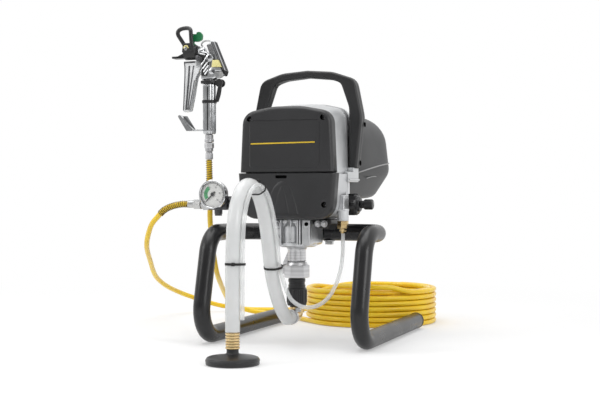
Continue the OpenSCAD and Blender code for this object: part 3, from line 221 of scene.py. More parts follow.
# %% Coated, moulded and rubber finishes
finish("frame_coat", (0.008, 0.008, 0.009), (0.014, 0.014, 0.015), (0.24, 0.34), grain_size=900.0,
       bump=0.18, wear_amount=0.2, worn=0.12, sockets={"Specular IOR Level": 0.45})
finish("cap_rubber", 0.010, 0.018, (0.65, 0.8), grain_size=1500.0, bump=0.2)
finish("cover_plastic", (0.017, 0.017, 0.018), (0.024, 0.024, 0.026), (0.36, 0.46),
       grain_size=2200.0, patch=9.0, bump=0.22, wear_amount=0.35, worn=(0.055, 0.055, 0.057),
       painted_shade=0.5)
finish("motor_plastic", (0.026, 0.027, 0.028), (0.036, 0.037, 0.039), (0.34, 0.44),
       grain_size=2200.0, patch=9.0, bump=0.22, wear_amount=0.3, worn=(0.09, 0.09, 0.092),
       sockets={"IOR": 1.25})
# Painted highlight: the light grey ridges stand for a bright highlight line along the motor cover.
finish("ridge_painted_highlight", (0.20, 0.20, 0.205), (0.28, 0.28, 0.285), (0.24, 0.34), grain_size=2200.0)
finish("handle_plastic", (0.013, 0.013, 0.014), (0.020, 0.020, 0.021), (0.38, 0.5),
       grain_size=2600.0, bump=0.25, wear_amount=0.35, worn=0.06)
finish("knob_plastic", (0.010, 0.010, 0.011), (0.018, 0.018, 0.019), (0.3, 0.42),
       grain_size=2600.0, bump=0.2, wear_amount=0.35, worn=0.07)
finish("red_plastic", (0.16, 0.010, 0.010), (0.24, 0.016, 0.014), (0.22, 0.34), grain_size=1800.0,
       bump=0.08)
finish("green_plastic", (0.008, 0.14, 0.045), (0.014, 0.21, 0.07), (0.24, 0.36), grain_size=1800.0,
       bump=0.08, wear_amount=0.3, worn=(0.1, 0.34, 0.2))
finish("pale_yellow", (0.78, 0.70, 0.26), (0.86, 0.78, 0.34), (0.25, 0.35), grain_size=1500.0,
       bump=0.06)
finish("yellow_stripe", (0.70, 0.46, 0.02), (0.80, 0.55, 0.035), (0.3, 0.4), grain_size=1500.0,
       bump=0.06)
finish("white_print", (0.74, 0.74, 0.72), (0.80, 0.80, 0.78), (0.4, 0.5), bump=0.03)
finish("black_print", 0.010, 0.016, (0.4, 0.5), bump=0.03)
finish("green_print", (0.02, 0.30, 0.09), (0.03, 0.38, 0.12), (0.4, 0.5), bump=0.03)
finish("board_green", (0.01, 0.08, 0.03), (0.02, 0.13, 0.05), (0.25, 0.4), patch=60.0)
# Painted shade: a dead black without reflection, set in holes, slots, vents and seams where shade
# falls.
finish("painted_shade_black", 0.002, 0.004, (0.7, 0.9), bump=0.05, sockets={"Specular IOR Level": 0.0})

# %% Metals
finish("housing_silver", (0.56, 0.57, 0.58), (0.66, 0.67, 0.68), (0.30, 0.42), metal=0.6,
       grain_size=1600.0, bump=0.16, wear_amount=0.4, worn=(0.8, 0.8, 0.81), painted_shade=0.6)
finish("cast_aluminium", (0.58, 0.59, 0.60), (0.74, 0.75, 0.76), (0.26, 0.42), metal=0.8,
       grain_size=1100.0, patch=30.0, bump=0.3, depth=0.0003, wear_amount=0.5,
       worn=(0.88, 0.88, 0.89), painted_shade=0.45)
finish("turned_steel", (0.50, 0.50, 0.51), (0.70, 0.70, 0.71), (0.30, 0.42), metal=1.0,
       stretch=(30.0, 30.0, 1800.0), bump=0.08, wear_amount=0.4, worn=(0.88, 0.88, 0.89), painted_shade=0.5)
finish("bright_chrome", (0.70, 0.71, 0.72), (0.84, 0.85, 0.86), (0.06, 0.14), metal=1.0,
       grain_size=300.0, patch=40.0, bump=0.03, painted_shade=0.9)
finish("satin_white", (0.86, 0.87, 0.88), (0.94, 0.95, 0.96), (0.30, 0.40), metal=0.35,
       grain_size=300.0, patch=40.0, bump=0.03, painted_shade=0.8)
finish("gun_metal", (0.52, 0.53, 0.54), (0.70, 0.71, 0.72), (0.10, 0.22), metal=1.0,
       grain_size=700.0, patch=45.0, bump=0.08, wear_amount=0.5, worn=(0.88, 0.88, 0.89), painted_shade=0.9)
finish("zinc_steel", (0.40, 0.41, 0.42), (0.56, 0.56, 0.55), (0.22, 0.36), metal=1.0,
       grain_size=900.0, patch=90.0, bump=0.12, painted_shade=0.8)
finish("dark_steel", (0.07, 0.07, 0.075), (0.12, 0.12, 0.125), (0.3, 0.45), metal=0.9,
       grain_size=900.0, patch=60.0, bump=0.15, wear_amount=0.5, worn=(0.4, 0.4, 0.41))
finish("gear_steel", (0.30, 0.30, 0.31), (0.42, 0.42, 0.43), (0.22, 0.36), metal=1.0,
       grain_size=900.0, patch=60.0, wear_amount=0.5, worn=(0.7, 0.7, 0.71))
finish("brass", (0.60, 0.43, 0.20), (0.80, 0.62, 0.34), (0.16, 0.28), metal=1.0,
       stretch=(40.0, 40.0, 1600.0), bump=0.08, wear_amount=0.4, worn=(0.92, 0.80, 0.54), painted_shade=0.7)
finish("spring_bronze", (0.16, 0.12, 0.05), (0.26, 0.20, 0.09), (0.2, 0.34), metal=0.9,
       grain_size=900.0, patch=90.0)
finish("copper", (0.42, 0.16, 0.07), (0.62, 0.26, 0.12), (0.25, 0.4), metal=1.0,
       stretch=(30.0, 900.0, 30.0), bump=0.3)
print("opaque finishes:", len(FINISH))

# %% [markdown]
# Clear tube, window glass and the hose's sheath need more than a colour. The wide hose is milky:
# light enters it and comes back out, so it is a cloudy shell that lets some light through. The
# high-pressure hose has a smooth yellow sheath over a fine braid, which shows as a faint weave.

# %% Clear and sheathed finishes
def milky(name, color, alpha, rough):
    return finish(name, tuple(c * 0.93 for c in color), color, rough=rough, grain_size=260.0,
                  patch=22.0, bump=0.06, sockets={
                      "Alpha": alpha, "Subsurface Weight": 0.7, "Subsurface Scale": 0.6,
                      "Subsurface Radius": (0.01, 0.01, 0.01), "IOR": 1.45,
                      "Coat Weight": 0.25, "Coat Roughness": 0.12})


milky("milky_tube", (0.84, 0.85, 0.85), 0.88, (0.16, 0.26))
milky("clear_tube", (0.92, 0.94, 0.94), 0.5, (0.10, 0.2))

FINISH["gauge_glass"] = bpy.data.materials.new("gauge_glass")
FINISH["gauge_glass"].use_nodes = True
glass_tree = FINISH["gauge_glass"].node_tree
glass_shader = glass_tree.nodes["Principled BSDF"]
for key, value in (("Base Color", (0.95, 0.97, 0.98, 1)), ("Alpha", 0.05), ("IOR", 1.5)):
    glass_shader.inputs[key].default_value = value
smear = add_node(glass_tree, "ShaderNodeGroup", {"node_tree": grain}, Patch_size=60.0)
smear_range = add_node(glass_tree, "ShaderNodeMapRange", To_Min=0.02, To_Max=0.10)
join(glass_tree, (smear, "Patches", smear_range, "Value"),
     (smear_range, "Result", glass_shader, "Roughness"))

sheath = finish(
    "hose_sheath", (0.94, 0.60, 0.012), (0.99, 0.70, 0.022), rough=(0.28, 0.4), patch=26.0,
    grain_size=700.0, sockets={"Coat Weight": 0.15, "Coat Roughness": 0.2}).node_tree
relief = next(n for n in sheath.nodes if n.type == "BUMP")
uv = add_node(sheath, "ShaderNodeUVMap")
diagonal = {"wave_type": "BANDS", "bands_direction": "DIAGONAL"}
braid = add_node(sheath, "ShaderNodeTexWave", diagonal, Scale=3.0, Distortion=0.0)
stretch_uv = add_node(sheath, "ShaderNodeVectorMath", {"operation": "MULTIPLY"})
stretch_uv.inputs[1].default_value = (900.0, 4.0, 1.0)
braid_relief = add_node(sheath, "ShaderNodeBump", Strength=0.12, Distance=0.0002)
join(sheath, (uv, "UV", stretch_uv, 0), (stretch_uv, "Vector", braid, "Vector"),
     (braid, "Fac", braid_relief, "Height"), (braid_relief, "Normal", relief, "Normal"))
print("all finishes:", len(FINISH))

# %% [markdown]
# ## How the pieces are made
# Four small workshops make nearly everything: a lathe spins a profile round an axis, a press cuts
# a flat outline and gives it thickness, a mill makes blocks with soft edges, and a bender sweeps a
# round bar along a route. Sizes are written in millimetres and scaled to metres at the end.

# %% Lathe, press, mill and bender
SHARP = 0.6    # an edge that turns by more radians than this is a corner


def rotation(degrees, axis):
    return Matrix.Rotation(math.radians(degrees), 4, axis)


TURN = {"X": rotation(90, "Y"), "-X": rotation(-90, "Y"), "Y": rotation(-90, "X"),
        "-Y": rotation(90, "X"), "Z": Matrix.Identity(4)}


def stood(bm, along, at):
    """Turn a shape made round Z to the axis it belongs on, and set it in its place."""
    bmesh.ops.transform(bm, matrix=Matrix.Translation(at) @ TURN[along], verts=bm.verts)
    return bm


def lathe(profile, along="Z", at=(0, 0, 0), steps=48):
    """Spin (radius, height) points round an axis."""
    bm = bmesh.new()
    verts = [bm.verts.new((r, 0, h)) for r, h in profile]
    edges = [bm.edges.new(pair) for pair in zip(verts, verts[1:])]
    bmesh.ops.spin(bm, geom=verts + edges, cent=(0, 0, 0), axis=(0, 0, 1),
                   angle=math.tau, steps=steps, use_merge=True, use_duplicate=False)
    bmesh.ops.remove_doubles(bm, verts=bm.verts, dist=WELD)
    bmesh.ops.recalc_face_normals(bm, faces=bm.faces)
    return stood(bm, along, at)


def disc(radius, low, high, along="Z", at=(0, 0, 0), steps=48):
    return lathe([(0, low), (radius, low), (radius, high), (0, high)], along, at, steps)


def soften(bm, edges, width, segments=2):
    bmesh.ops.bevel(bm, geom=edges, offset=width, offset_type="OFFSET", segments=segments,
                    profile=0.5, affect="EDGES", material=-1, clamp_overlap=True)


def thicken(bm, faces, by):
    """Give flat faces a thickness towards +Y."""
    grown = bmesh.ops.extrude_face_region(bm, geom=faces)["geom"]
    bmesh.ops.translate(bm, vec=(0, by, 0),
                        verts=[g for g in grown if isinstance(g, bmesh.types.BMVert)])
    bmesh.ops.recalc_face_normals(bm, faces=bm.faces)


def press(outline, low, high, rim=0.0, segments=2):
    """A flat outline in X and Z, made solid from y = low to y = high, with soft rims."""
    bm = bmesh.new()
    thicken(bm, [bm.faces.new([bm.verts.new((x, low, z)) for x, z in outline])], high - low)
    if rim:
        def on_rim(edge):
            return (any(all(abs(v.co.y - y) < 1e-4 for v in edge.verts) for y in (low, high))
                    and edge.calc_face_angle(0) > SHARP)
        soften(bm, [e for e in bm.edges if on_rim(e)], rim, segments)
    return bm


def mill(low, high, edge=0.6, segments=2):
    """A block between two corners, with soft edges."""
    bm = bmesh.new()
    size = [b - a for a, b in zip(low, high)]
    middle = [(a + b) / 2 for a, b in zip(low, high)]
    bmesh.ops.create_cube(bm, size=1, matrix=Matrix.Translation(middle)
                          @ Matrix.Diagonal((*size, 1)))
    soften(bm, list(bm.edges), min(edge, min(size) * 0.45), segments)
    return bm


def hexagon(across, length, along="Z", at=(0, 0, 0), chamfer=0.0):
    """A hexagonal bar whose ends are turned back, as a nut's are."""
    bm = bmesh.new()
    radius = across / math.sqrt(3)
    bmesh.ops.create_cone(bm, cap_ends=True, cap_tris=False, segments=6, radius1=radius,
                          radius2=radius, depth=length,
                          matrix=Matrix.Translation((0, 0, length / 2)))
    soften(bm, [e for e in bm.edges if e.calc_face_angle(0) > SHARP], chamfer or across * 0.035)
    return stood(bm, along, at)


def swept(name, points, radius, sides):
    """A curve through points with a round section."""
    curve = bpy.data.curves.new(name, "CURVE")
    curve.dimensions = "3D"
    curve.bevel_depth = radius
    curve.bevel_resolution = max(0, sides // 4 - 1)
    curve.use_fill_caps = True
    spline = curve.splines.new("POLY")
    spline.points.add(len(points) - 1)
    for point, spot in zip(spline.points, points):
        point.co = (*spot, 1)
    spline.use_smooth = True
    thing = bpy.data.objects.new(name, curve)
    bpy.context.scene.collection.objects.link(thing)
    return thing


def bend(points, radius, sides=16):
    """A round bar swept along points; the curve tool does the sweeping."""
    holder = swept("route", points, radius, sides)
    bpy.context.view_layer.update()
    view = bpy.context.evaluated_depsgraph_get()
    mesh = bpy.data.meshes.new_from_object(holder.evaluated_get(view))
    bm = bmesh.new()
    bm.from_mesh(mesh)
    curve = holder.data
    bpy.data.objects.remove(holder)
    bpy.data.curves.remove(curve)
    bpy.data.meshes.remove(mesh)
    bmesh.ops.remove_doubles(bm, verts=bm.verts, dist=WELD)
    bmesh.ops.recalc_face_normals(bm, faces=bm.faces)
    return bm


def closed_loop(bm, points):
    """The edges of one closed loop."""
    verts = [bm.verts.new(point) for point in points]
    return [bm.edges.new(pair) for pair in zip(verts, verts[1:] + verts[:1])]


def skin(rings, endless=False):
    """Bridge rings of equally many points; the two ends are closed unless it is endless."""
    bm = bmesh.new()
    loops = [closed_loop(bm, points) for points in rings]
    following = loops[1:] + loops[:1] if endless else loops[1:]
    for one, two in zip(loops, following):
        bmesh.ops.bridge_loops(bm, edges=one + two)
    for end in () if endless else (loops[0], loops[-1]):
        bmesh.ops.contextual_create(bm, geom=end)
    bmesh.ops.recalc_face_normals(bm, faces=bm.faces)
    return bm


def gather(*parts):
    whole = bmesh.new()
    for part in parts:
        mesh = bpy.data.meshes.new("part")
        part.to_mesh(mesh)
        part.free()
        whole.from_mesh(mesh)
        bpy.data.meshes.remove(mesh)
    return whole


def mirrored(bm):
    """The shape and its twin on the other side of the mid-plane."""
    twin = bm.copy()
    bmesh.ops.scale(twin, vec=(-1, 1, 1), verts=twin.verts)
    bmesh.ops.reverse_faces(twin, faces=twin.faces)
    return gather(bm, twin)


def swung(bm, degrees, axis, about):
    """Turn a shape about a point."""
    spin = Matrix.Translation(about) @ rotation(degrees, axis) @ Matrix.Translation(-Vector(about))
    bmesh.ops.transform(bm, matrix=spin, verts=bm.verts)
    return bm


# %% Put a finished shape into the scene
made = []


def enlist(thing, look, body, stands_for):
    """Give an object its finish, and tie it to its moving body."""
    thing.data.materials.append(FINISH[look])
    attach(thing, body)
    if stands_for:
        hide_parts(*([stands_for] if isinstance(stands_for, str) else stands_for))
    made.append(thing.name)
    return thing


def piece(name, bm, look, body="root", stands_for=(), angle=38, weighted=True):
    """Scale a shape to metres, smooth it and put it into the scene."""
    bmesh.ops.scale(bm, vec=(MM, MM, MM), verts=bm.verts)
    mesh = bpy.data.meshes.new(name)
    bm.to_mesh(mesh)
    bm.free()
    mesh.shade_smooth()
    mesh.set_sharp_from_angle(angle=math.radians(angle))
    thing = bpy.data.objects.new(name, mesh)
    bpy.context.scene.collection.objects.link(thing)
    if weighted:
        thing.modifiers.new("even_shading", "WEIGHTED_NORMAL").keep_sharp = True
    return enlist(thing, look, body, stands_for)


# %% Outlines with rounded corners
def rounded(corners, n=6):
    """Points of a closed outline from (x, z, corner radius)."""
    points = []
    for i, (x, z, radius) in enumerate(corners):
        here = Vector((x, z))
        if radius == 0:
            points.append((x, z))
            continue
        before = (Vector(corners[i - 1][:2]) - here).normalized()
        after = (Vector(corners[(i + 1) % len(corners)][:2]) - here).normalized()
        half = before.angle(after) / 2
        centre = here + (before + after).normalized() * radius / math.sin(half)
        start = here + before * radius / math.tan(half) - centre
        end = here + after * radius / math.tan(half) - centre
        first = math.atan2(start.y, start.x)
        sweep = (math.atan2(end.y, end.x) - first + math.pi) % math.tau - math.pi
        for k in range(n + 1):
            a = first + sweep * k / n
            points.append((centre.x + radius * math.cos(a), centre.y + radius * math.sin(a)))
    return points


def two_sided(corners):
    return corners + [(-x, z, r) for x, z, r in reversed(corners)]


def through(points, step=6):
    """A smooth line through points: each span is a cubic that leaves its ends smoothly."""
    points = [Vector(p) for p in points]
    line = []
    for i in range(len(points) - 1):
        a, b = points[i], points[i + 1]
        before = points[i - 1] if i else a - (b - a)
        after = points[i + 2] if i + 2 < len(points) else b + (b - a)
        for k in range(step):
            t = k / step
            line.append(0.5 * (2 * a + (b - before) * t
                               + (2 * before - 5 * a + 4 * b - after) * t * t
                               + (3 * a - before - 3 * b + after) * t ** 3))
    return line + [points[-1]]


def length_of(points):
    return sum((b - a).length for a, b in zip(points, points[1:]))


print("tools ready")

# %% [markdown]
# ## Cords
# The machine has three free lines. The suction hose is stiff and stands up in an arch between the
# elbow under the pump and its strainer foot. The return tube is strapped to it. The high-pressure
# hose leaves the outlet, runs round behind to its stored coil, and comes back up to the gun.

# %% Sizes that the hoses share with the frame, in millimetres
SUCTION_D, RETURN_D, HOSE_D = 22.0, 6.8, 9.6
COIL_X, COIL_Y, COIL_R = 22.0, 413.0, 124.2

suction_points = [(-3, -221, 48), (-3, -221, 74), (-3, -221, 148), (-3, -220, 165),
                  (-3, -216, 205), (-3, -205, 235), (-3, -186, 257), (-3, -162, 265),
                  (-3, -138, 261), (-3, -117, 248), (-3, -100, 226), (-3, -87, 200),
                  (-3, -77, 170), (-2.5, -68, 135), (-2, -54, 102), (-1, -32, 70),
                  (0, -12, 52), (0, 0, 46), (0, 24, 46)]
return_points = [(82, 46, 186), (82, 46, 176), (82, 44, 150), (80, 38, 124), (75, 27, 100),
                 (68, 13, 82), (58, -3, 71), (46, -17, 67), (34, -30, 70), (24, -42, 80),
                 (19, -52, 95), (16, -62, 114), (13, -69, 135)]
BESIDE_X = 12.5    # from there on the thin tube runs beside the thick one
return_points += [(BESIDE_X, y, z) for x, y, z in reversed(suction_points[2:13])]
return_points.append((BESIDE_X, -221, 66))
pump_points = [(-203, 46, 234), (-215, 46, 234), (-232, 46, 231), (-250, 48, 224),
               (-268, 56, 211), (-290, 72, 193), (-320, 114, 158), (-352, 190, 124),
               (-387, 281, 88), (-396, 345, 64), (-394, 406, 45), (-375, 445, 30),
               (-345, 470, 17), (-312, 488, 9), (-275, 500, 5), (-235, 508, 5),
               (-185, 524, 5), (-140, 538, 9), (-100, 548, 19), (-65, 552, 33),
               (-30, 552, 48), (0, 548, 58), (22, 542, 61.5)]
gun_points = [(-158, 36, 311), (-158, 36, 297), (-159, 39, 279), (-162, 47, 264),
              (-167, 61, 248), (-173, 73, 228), (-180, 88, 205), (-191, 122, 160),
              (-204, 168, 112), (-220, 220, 86), (-256, 329, 51), (-266, 372, 33),
              (-259, 403, 19), (-238, 425, 9.5), (-208, 433, 5.6), (-180, 428, 5),
              (-165, 418, 5)]


# %% A tube that keeps its own length coordinate
def hose(name, points, diameter, look, sides, stands_for):
    """A curve of one spline in metres; its UV runs along it, for the braid."""
    tube = swept(name, [Vector(p) * MM for p in points], diameter / 2 * MM, sides)
    return enlist(tube, look, "root", stands_for)


suction_line = through(suction_points)
suction = hose("suction_hose_tube", suction_line, SUCTION_D, "milky_tube",
               32, ["suction_hose"])
return_line = through(return_points, 5)
return_tube = hose("return_hose_tube", return_line, RETURN_D, "clear_tube",
                   16, ["return_hose"])
print("suction hose", round(length_of(suction_line)), "mm; return hose",
      round(length_of(return_line)), "mm")

# %% [markdown]
# The stored hose is wound in three columns. The outer column climbs seven turns, the next comes
# down seven, and a loose inner column climbs back. At the front it crosses out over the others,
# which makes the low hump there, and follows the top turn round to the back. Each turn is flat but
# for a short climb, as a hose lies when it is wound by hand.

# %% Wind the coil
PITCH, COLUMN = 10.08, 10.0
OUTER, MIDDLE, INNER = COIL_R, COIL_R - COLUMN, COIL_R - 2 * COLUMN
CLIMB_FROM, CLIMB_TO = 125, 175    # between these degrees of a turn the outer column climbs
# Keys are (angle in degrees, column radius, level in hose pitches).
coil_keys = [(-133, OUTER, 0)]
for turn in range(6):
    coil_keys += [(CLIMB_FROM + 360 * turn, OUTER, turn), (CLIMB_TO + 360 * turn, OUTER, turn + 1)]
coil_keys += [(2025, OUTER, 6), (2065, MIDDLE, 6)]
for turn in range(6):
    coil_keys += [(2285 + 360 * turn, MIDDLE, 6 - turn), (2335 + 360 * turn, MIDDLE, 5 - turn)]
coil_keys += [(4445, MIDDLE, 0), (4495, INNER, 0)]
coil_keys += [(4540 + 360 * turn, INNER, 1.15 * turn) for turn in range(5)]
over = coil_keys[-1][0]
coil_keys += [(over + 35, INNER + 1, 7.06), (over + 80, OUTER - 1, 7.06), (over + 108, OUTER, 6.0),
              (over + 215, OUTER, 6.0)]


def coil_point(a):
    low, high = next((one, two) for one, two in zip(coil_keys, coil_keys[1:]) if a <= two[0])
    share = (a - low[0]) / (high[0] - low[0])
    eased = share * share * (3 - 2 * share)
    radius = low[1] + (high[1] - low[1]) * eased
    level = low[2] + (high[2] - low[2]) * (share if low[1] == high[1] == INNER else eased)
    turned = math.radians(a)
    return Vector((COIL_X + radius * math.cos(turned), COIL_Y + radius * math.sin(turned),
                   HOSE_D / 2 + PITCH * level))


coil_start, coil_end = coil_keys[0][0], coil_keys[-1][0]
steps = int((coil_end - coil_start) / 5)
coil_line = [coil_point(coil_start + (coil_end - coil_start) * i / steps)
             for i in range(steps + 1)]
print("coil:", len(coil_keys), "keys,", round(length_of(coil_line) * MM, 2), "m, ends at",
      tuple(round(v) for v in coil_line[-1]))

# %% [markdown]
# One curve is the whole hose: up from the outlet side, over the top of the coil, down through its
# turns, and out again from under it to the gun.

# %% Lay the high-pressure hose
last = coil_line[-1]
run_from_pump = through(pump_points[:-1] + [tuple(last), tuple(coil_line[-3])], 4)[:-4]
lead_in = coil_line[0]
turned = math.radians(coil_start)
toward = Vector((math.sin(turned), -math.cos(turned), 0))
run_to_gun = list(reversed(through(gun_points + [tuple(lead_in + toward * 24),
                                                 tuple(lead_in)], 5)))
hose_line = run_from_pump + list(reversed(coil_line))[1:] + run_to_gun[1:]
hose_length = length_of(hose_line) * MM
pressure_hose = hose("high_pressure_hose", hose_line, HOSE_D, "hose_sheath",
                     16, ["hose_run_pump", "hose_run_gun", "hose_coil"])
print("high-pressure hose", round(hose_length, 2), "m")

# %% [markdown]
# ## Tube frame
# The frame is one tube bent six times and coated black. A curve along its centre line gives the
# bends exactly, and small plugs close the runners' rear ends.

# %% Bend the frame tube
TUBE_R, BEND = 14.5, 45.0                        # tube radius, bend radius
HALF, RAIL_Z, CROSS_Y, RUNNER_END = 137.0, 186.0, 100.0, 318.0
RAKE = 15.0                                      # how far the legs lean back, in degrees
rake = math.radians(RAKE)
low_centre = Vector((HALF, 5, TUBE_R + BEND))
leg_foot = low_centre + Vector((0, -BEND * math.cos(rake), BEND * math.sin(rake)))
leg_length = (RAIL_Z - BEND + BEND * math.sin(rake) - leg_foot.z) / math.cos(rake)
high_centre = leg_foot + Vector((0, leg_length * math.sin(rake) + BEND * math.cos(rake),
                                 leg_length * math.cos(rake) - BEND * math.sin(rake)))


def arc(centre, a0, a1, plane, n=14):
    """Points of a frame bend; plane YZ or XY, angles in degrees."""
    points = []
    for i in range(n + 1):
        a = math.radians(a0 + (a1 - a0) * i / n)
        u, v = BEND * math.cos(a), BEND * math.sin(a)
        points.append(centre + (Vector((0, u, v)) if plane == "YZ" else Vector((u, v, 0))))
    return points


side = ([Vector((HALF, RUNNER_END, TUBE_R))] + arc(low_centre, 270, 180 - RAKE, "YZ")
        + arc(high_centre, 180 - RAKE, 90, "YZ")
        + arc(Vector((HALF - BEND, CROSS_Y - BEND, RAIL_Z)), 0, 90, "XY"))
tube_line = side + [Vector((-p.x, p.y, p.z)) for p in reversed(side)]
piece("frame_tube_bent", bend(tube_line, TUBE_R, 40), "frame_coat",
      stands_for="frame_tube", weighted=False)

# %% Close the runners
cap_profile = [(0, -10), (11.5, -10), (12.4, -9), (12.4, 0), (14.5, 0), (14.9, 0.6), (14.9, 4.5),
               (14.2, 6.6), (12, 8.0), (8, 8.8), (0, 9.0)]
cap = lathe(cap_profile, "Y", (HALF, RUNNER_END, TUBE_R))
piece("runner_caps", mirrored(cap), "cap_rubber", stands_for="runner_end_caps")

# %% Saddles and bolts under the body
saddle = press([(24.5, 209), (55.5, 209), (55.5, 186), (24.5, 186)], 86.2, 113.8, rim=1.2)
saddle_ribs = [mill((x, 87.5, 187.0), (x + 2.2, 112.5, 208.8), 0.5) for x in (23.4, 54.6)]
piece("frame_saddle_blocks", mirrored(gather(saddle, *saddle_ribs)), "handle_plastic",
      stands_for="frame_saddles")
bolt = gather(hexagon(13, 6.2, "Z", (40, 100, 164.8)),
              disc(9.5, 0, 1.6, "Z", (40, 100, 170.4)),
              disc(4, 0, 48, "Z", (40, 100, 172), 24))
piece("frame_bolt_set", mirrored(bolt), "zinc_steel", stands_for="frame_bolts")

# %% [markdown]
# ## Front covers
# The two dark covers are thin mouldings with soft rims. Each front face is filled round its screw
# holes and its recess, and the holes are pushed in, so the depressions are real.

# %% Outlines of the covers
BASE_Z, SEAM_Z, TOP_Z = 209.0, 287.0, 396.0
UP_HALF, LOW_HALF, FRONT_Y, CASE_Y = 82.5, 86.0, -9.0, 15.0


def upper_outline(inset, n=7):
    return rounded(two_sided([
        (-UP_HALF + inset, SEAM_Z + 0.6 + (0.8 if inset > 1 else 0), min(inset, 1.2)),
        (-UP_HALF + 4.5 + inset, TOP_Z - 9 - inset, 24 - min(inset, 20)),
        (-26, TOP_Z + 1 - inset, 120)]), n)


def lower_outline(inset, n=8):
    return rounded(two_sided([
        (-LOW_HALF + inset, SEAM_Z - 0.6 - (0.8 if inset > 1 else 0), min(inset, 1.2)),
        (-LOW_HALF + 6 + inset, BASE_Z + 1 + inset, 28 - min(inset, 20))]), n)


def upright(points, y):
    """An outline in X and Z, stood at depth y."""
    return [(x, y, z) for x, z in points]


def circle(x, z, r, n=24):
    return [(x + r * math.cos(math.tau * i / n), z + r * math.sin(math.tau * i / n))
            for i in range(n)]


# Each cover's outline is drawn in by so much at each depth, from the front face to the back.
COVER_STEPS = [(6.5, FRONT_Y), (4.2, FRONT_Y + 0.7), (2.2, FRONT_Y + 2.2), (0.8, FRONT_Y + 4.6),
               (0.0, FRONT_Y + 8.0), (0.0, CASE_Y - 1.6), (0.5, CASE_Y - 0.6),
               (1.6, CASE_Y - 0.2)]
SCREWS = [(-65, TOP_Z - 19), (65, TOP_Z - 19), (-67, 234), (67, 234)]


def front_cover(name, outline, recesses, stands_for):
    """A cover with recesses of (outline, depth, share lost at the floor) in its front face."""
    bm = bmesh.new()
    loops = [closed_loop(bm, upright(outline(inset), y)) for inset, y in COVER_STEPS]
    for one, two in zip(loops, loops[1:]):
        bmesh.ops.bridge_loops(bm, edges=one + two)
    holes = [closed_loop(bm, upright(points, FRONT_Y)) for points, depth, taper in recesses]
    bmesh.ops.triangle_fill(bm, use_beauty=True, use_dissolve=False,
                            edges=loops[0] + [e for hole in holes for e in hole],
                            normal=(0, -1, 0))
    for hole, (points, depth, taper) in zip(holes, recesses):
        grown = bmesh.ops.extrude_edge_only(bm, edges=hole)["geom"]
        verts = [g for g in grown if isinstance(g, bmesh.types.BMVert)]
        edges = [g for g in grown if isinstance(g, bmesh.types.BMEdge)
                 and all(v in verts for v in g.verts)]
        bmesh.ops.translate(bm, vec=(0, depth, 0), verts=verts)
        middle = sum((v.co for v in verts), Vector()) / len(verts)
        bmesh.ops.scale(bm, vec=(1 - taper, 1, 1 - taper), verts=verts,
                        space=Matrix.Translation(-middle))
        bmesh.ops.contextual_create(bm, geom=edges)
    bmesh.ops.contextual_create(bm, geom=loops[-1])
    bmesh.ops.recalc_face_normals(bm, faces=bm.faces)
    piece(name, bm, "cover_plastic", stands_for=stands_for, angle=42)


# %% Upper cover
panel = rounded([(-64, SEAM_Z + 7, 7), (60, SEAM_Z + 7, 7), (60, TOP_Z - 22, 7),
                 (-64, TOP_Z - 22, 7)])
front_cover("front_cover_upper", upper_outline, [(panel, 1.0, 0.015)]
            + [(circle(x, z, 4.8), 7.0, 0.03) for x, z in SCREWS[:2]], "upper_front_cover")

# %% The plain stripe on the upper cover
stripe = press([(-62, 334.0), (51, 335.6), (51, 337.7), (-62, 336.2)], FRONT_Y + 0.55,
               FRONT_Y + 1.1, rim=0.1, segments=1)
piece("cover_stripe", stripe, "yellow_stripe", weighted=False)

# %% Lower cover with its slot and raised mark
slot = rounded([(-18, SEAM_Z - 9.6, 2.2), (2.4, SEAM_Z - 9.6, 2.2), (2.4, SEAM_Z - 4.4, 2.2),
                (-18, SEAM_Z - 4.4, 2.2)], 4)
front_cover("front_cover_lower", lower_outline, [(slot, 5.0, 0.02)]
            + [(circle(x, z, 4.8), 7.0, 0.03) for x, z in SCREWS[2:]], "lower_front_cover")


def raised_bell(points, y, steps):
    """A low mound on the cover: one outline drawn in and lifted at each step."""
    outline = [(p.x, p.z) for p in through([(x, 0, z) for x, z in points], 5)]
    middle = sum(x for x, z in outline) / len(outline)
    foot = min(z for x, z in outline)
    return skin([[(middle + (x - middle) * size, y - lift, foot + (z - foot) * size)
                  for x, z in outline] for size, lift in steps])


BELL = [(-36, 219), (-31, 236), (-25, 256), (-17, 268), (-6, 273.5), (5, 268), (12, 256),
        (17.5, 238), (23, 219)]
INNER_BELL = [(-19, 220), (-16, 240), (-12, 256), (-6, 266), (-1, 256), (3, 240), (7, 220)]
mounds = gather(
    raised_bell(BELL, FRONT_Y, [(1, -0.3), (0.97, 0.5), (0.93, 1.1), (0.88, 1.4)]),
    raised_bell(INNER_BELL, FRONT_Y - 1.2, [(1, -0.3), (0.96, 0.5), (0.88, 1.0), (0.8, 1.2)]))
piece("cover_raised_mark", mounds, "cover_plastic", angle=60)
# Painted shade: a black sheet behind the slot and black rings in the screw holes stand for the
# shade deep inside them.
deep = [press(rounded([(-17.6, SEAM_Z - 9.2, 1.9), (2.0, SEAM_Z - 9.2, 1.9),
                       (2.0, SEAM_Z - 4.8, 1.9), (-17.6, SEAM_Z - 4.8, 1.9)], 4),
              FRONT_Y + 2.0, FRONT_Y + 3.0)]
for x, z in SCREWS:
    deep.append(lathe([(4.3, 0), (4.62, 0), (4.62, -4.6), (4.3, -4.6), (4.3, 0)], "-Y",
                      (x, FRONT_Y + 1.4, z), 24))
piece("cover_deep_holes", gather(*deep), "painted_shade_black", weighted=False)

# %% Screws
def pan_head(at, along):
    """The head of a pan-head screw."""
    return lathe([(0, 2.4), (2.1, 2.304), (3.57, 1.68), (4.2, 0.48), (4.2, 0), (0, 0)], along, at,
                 24)


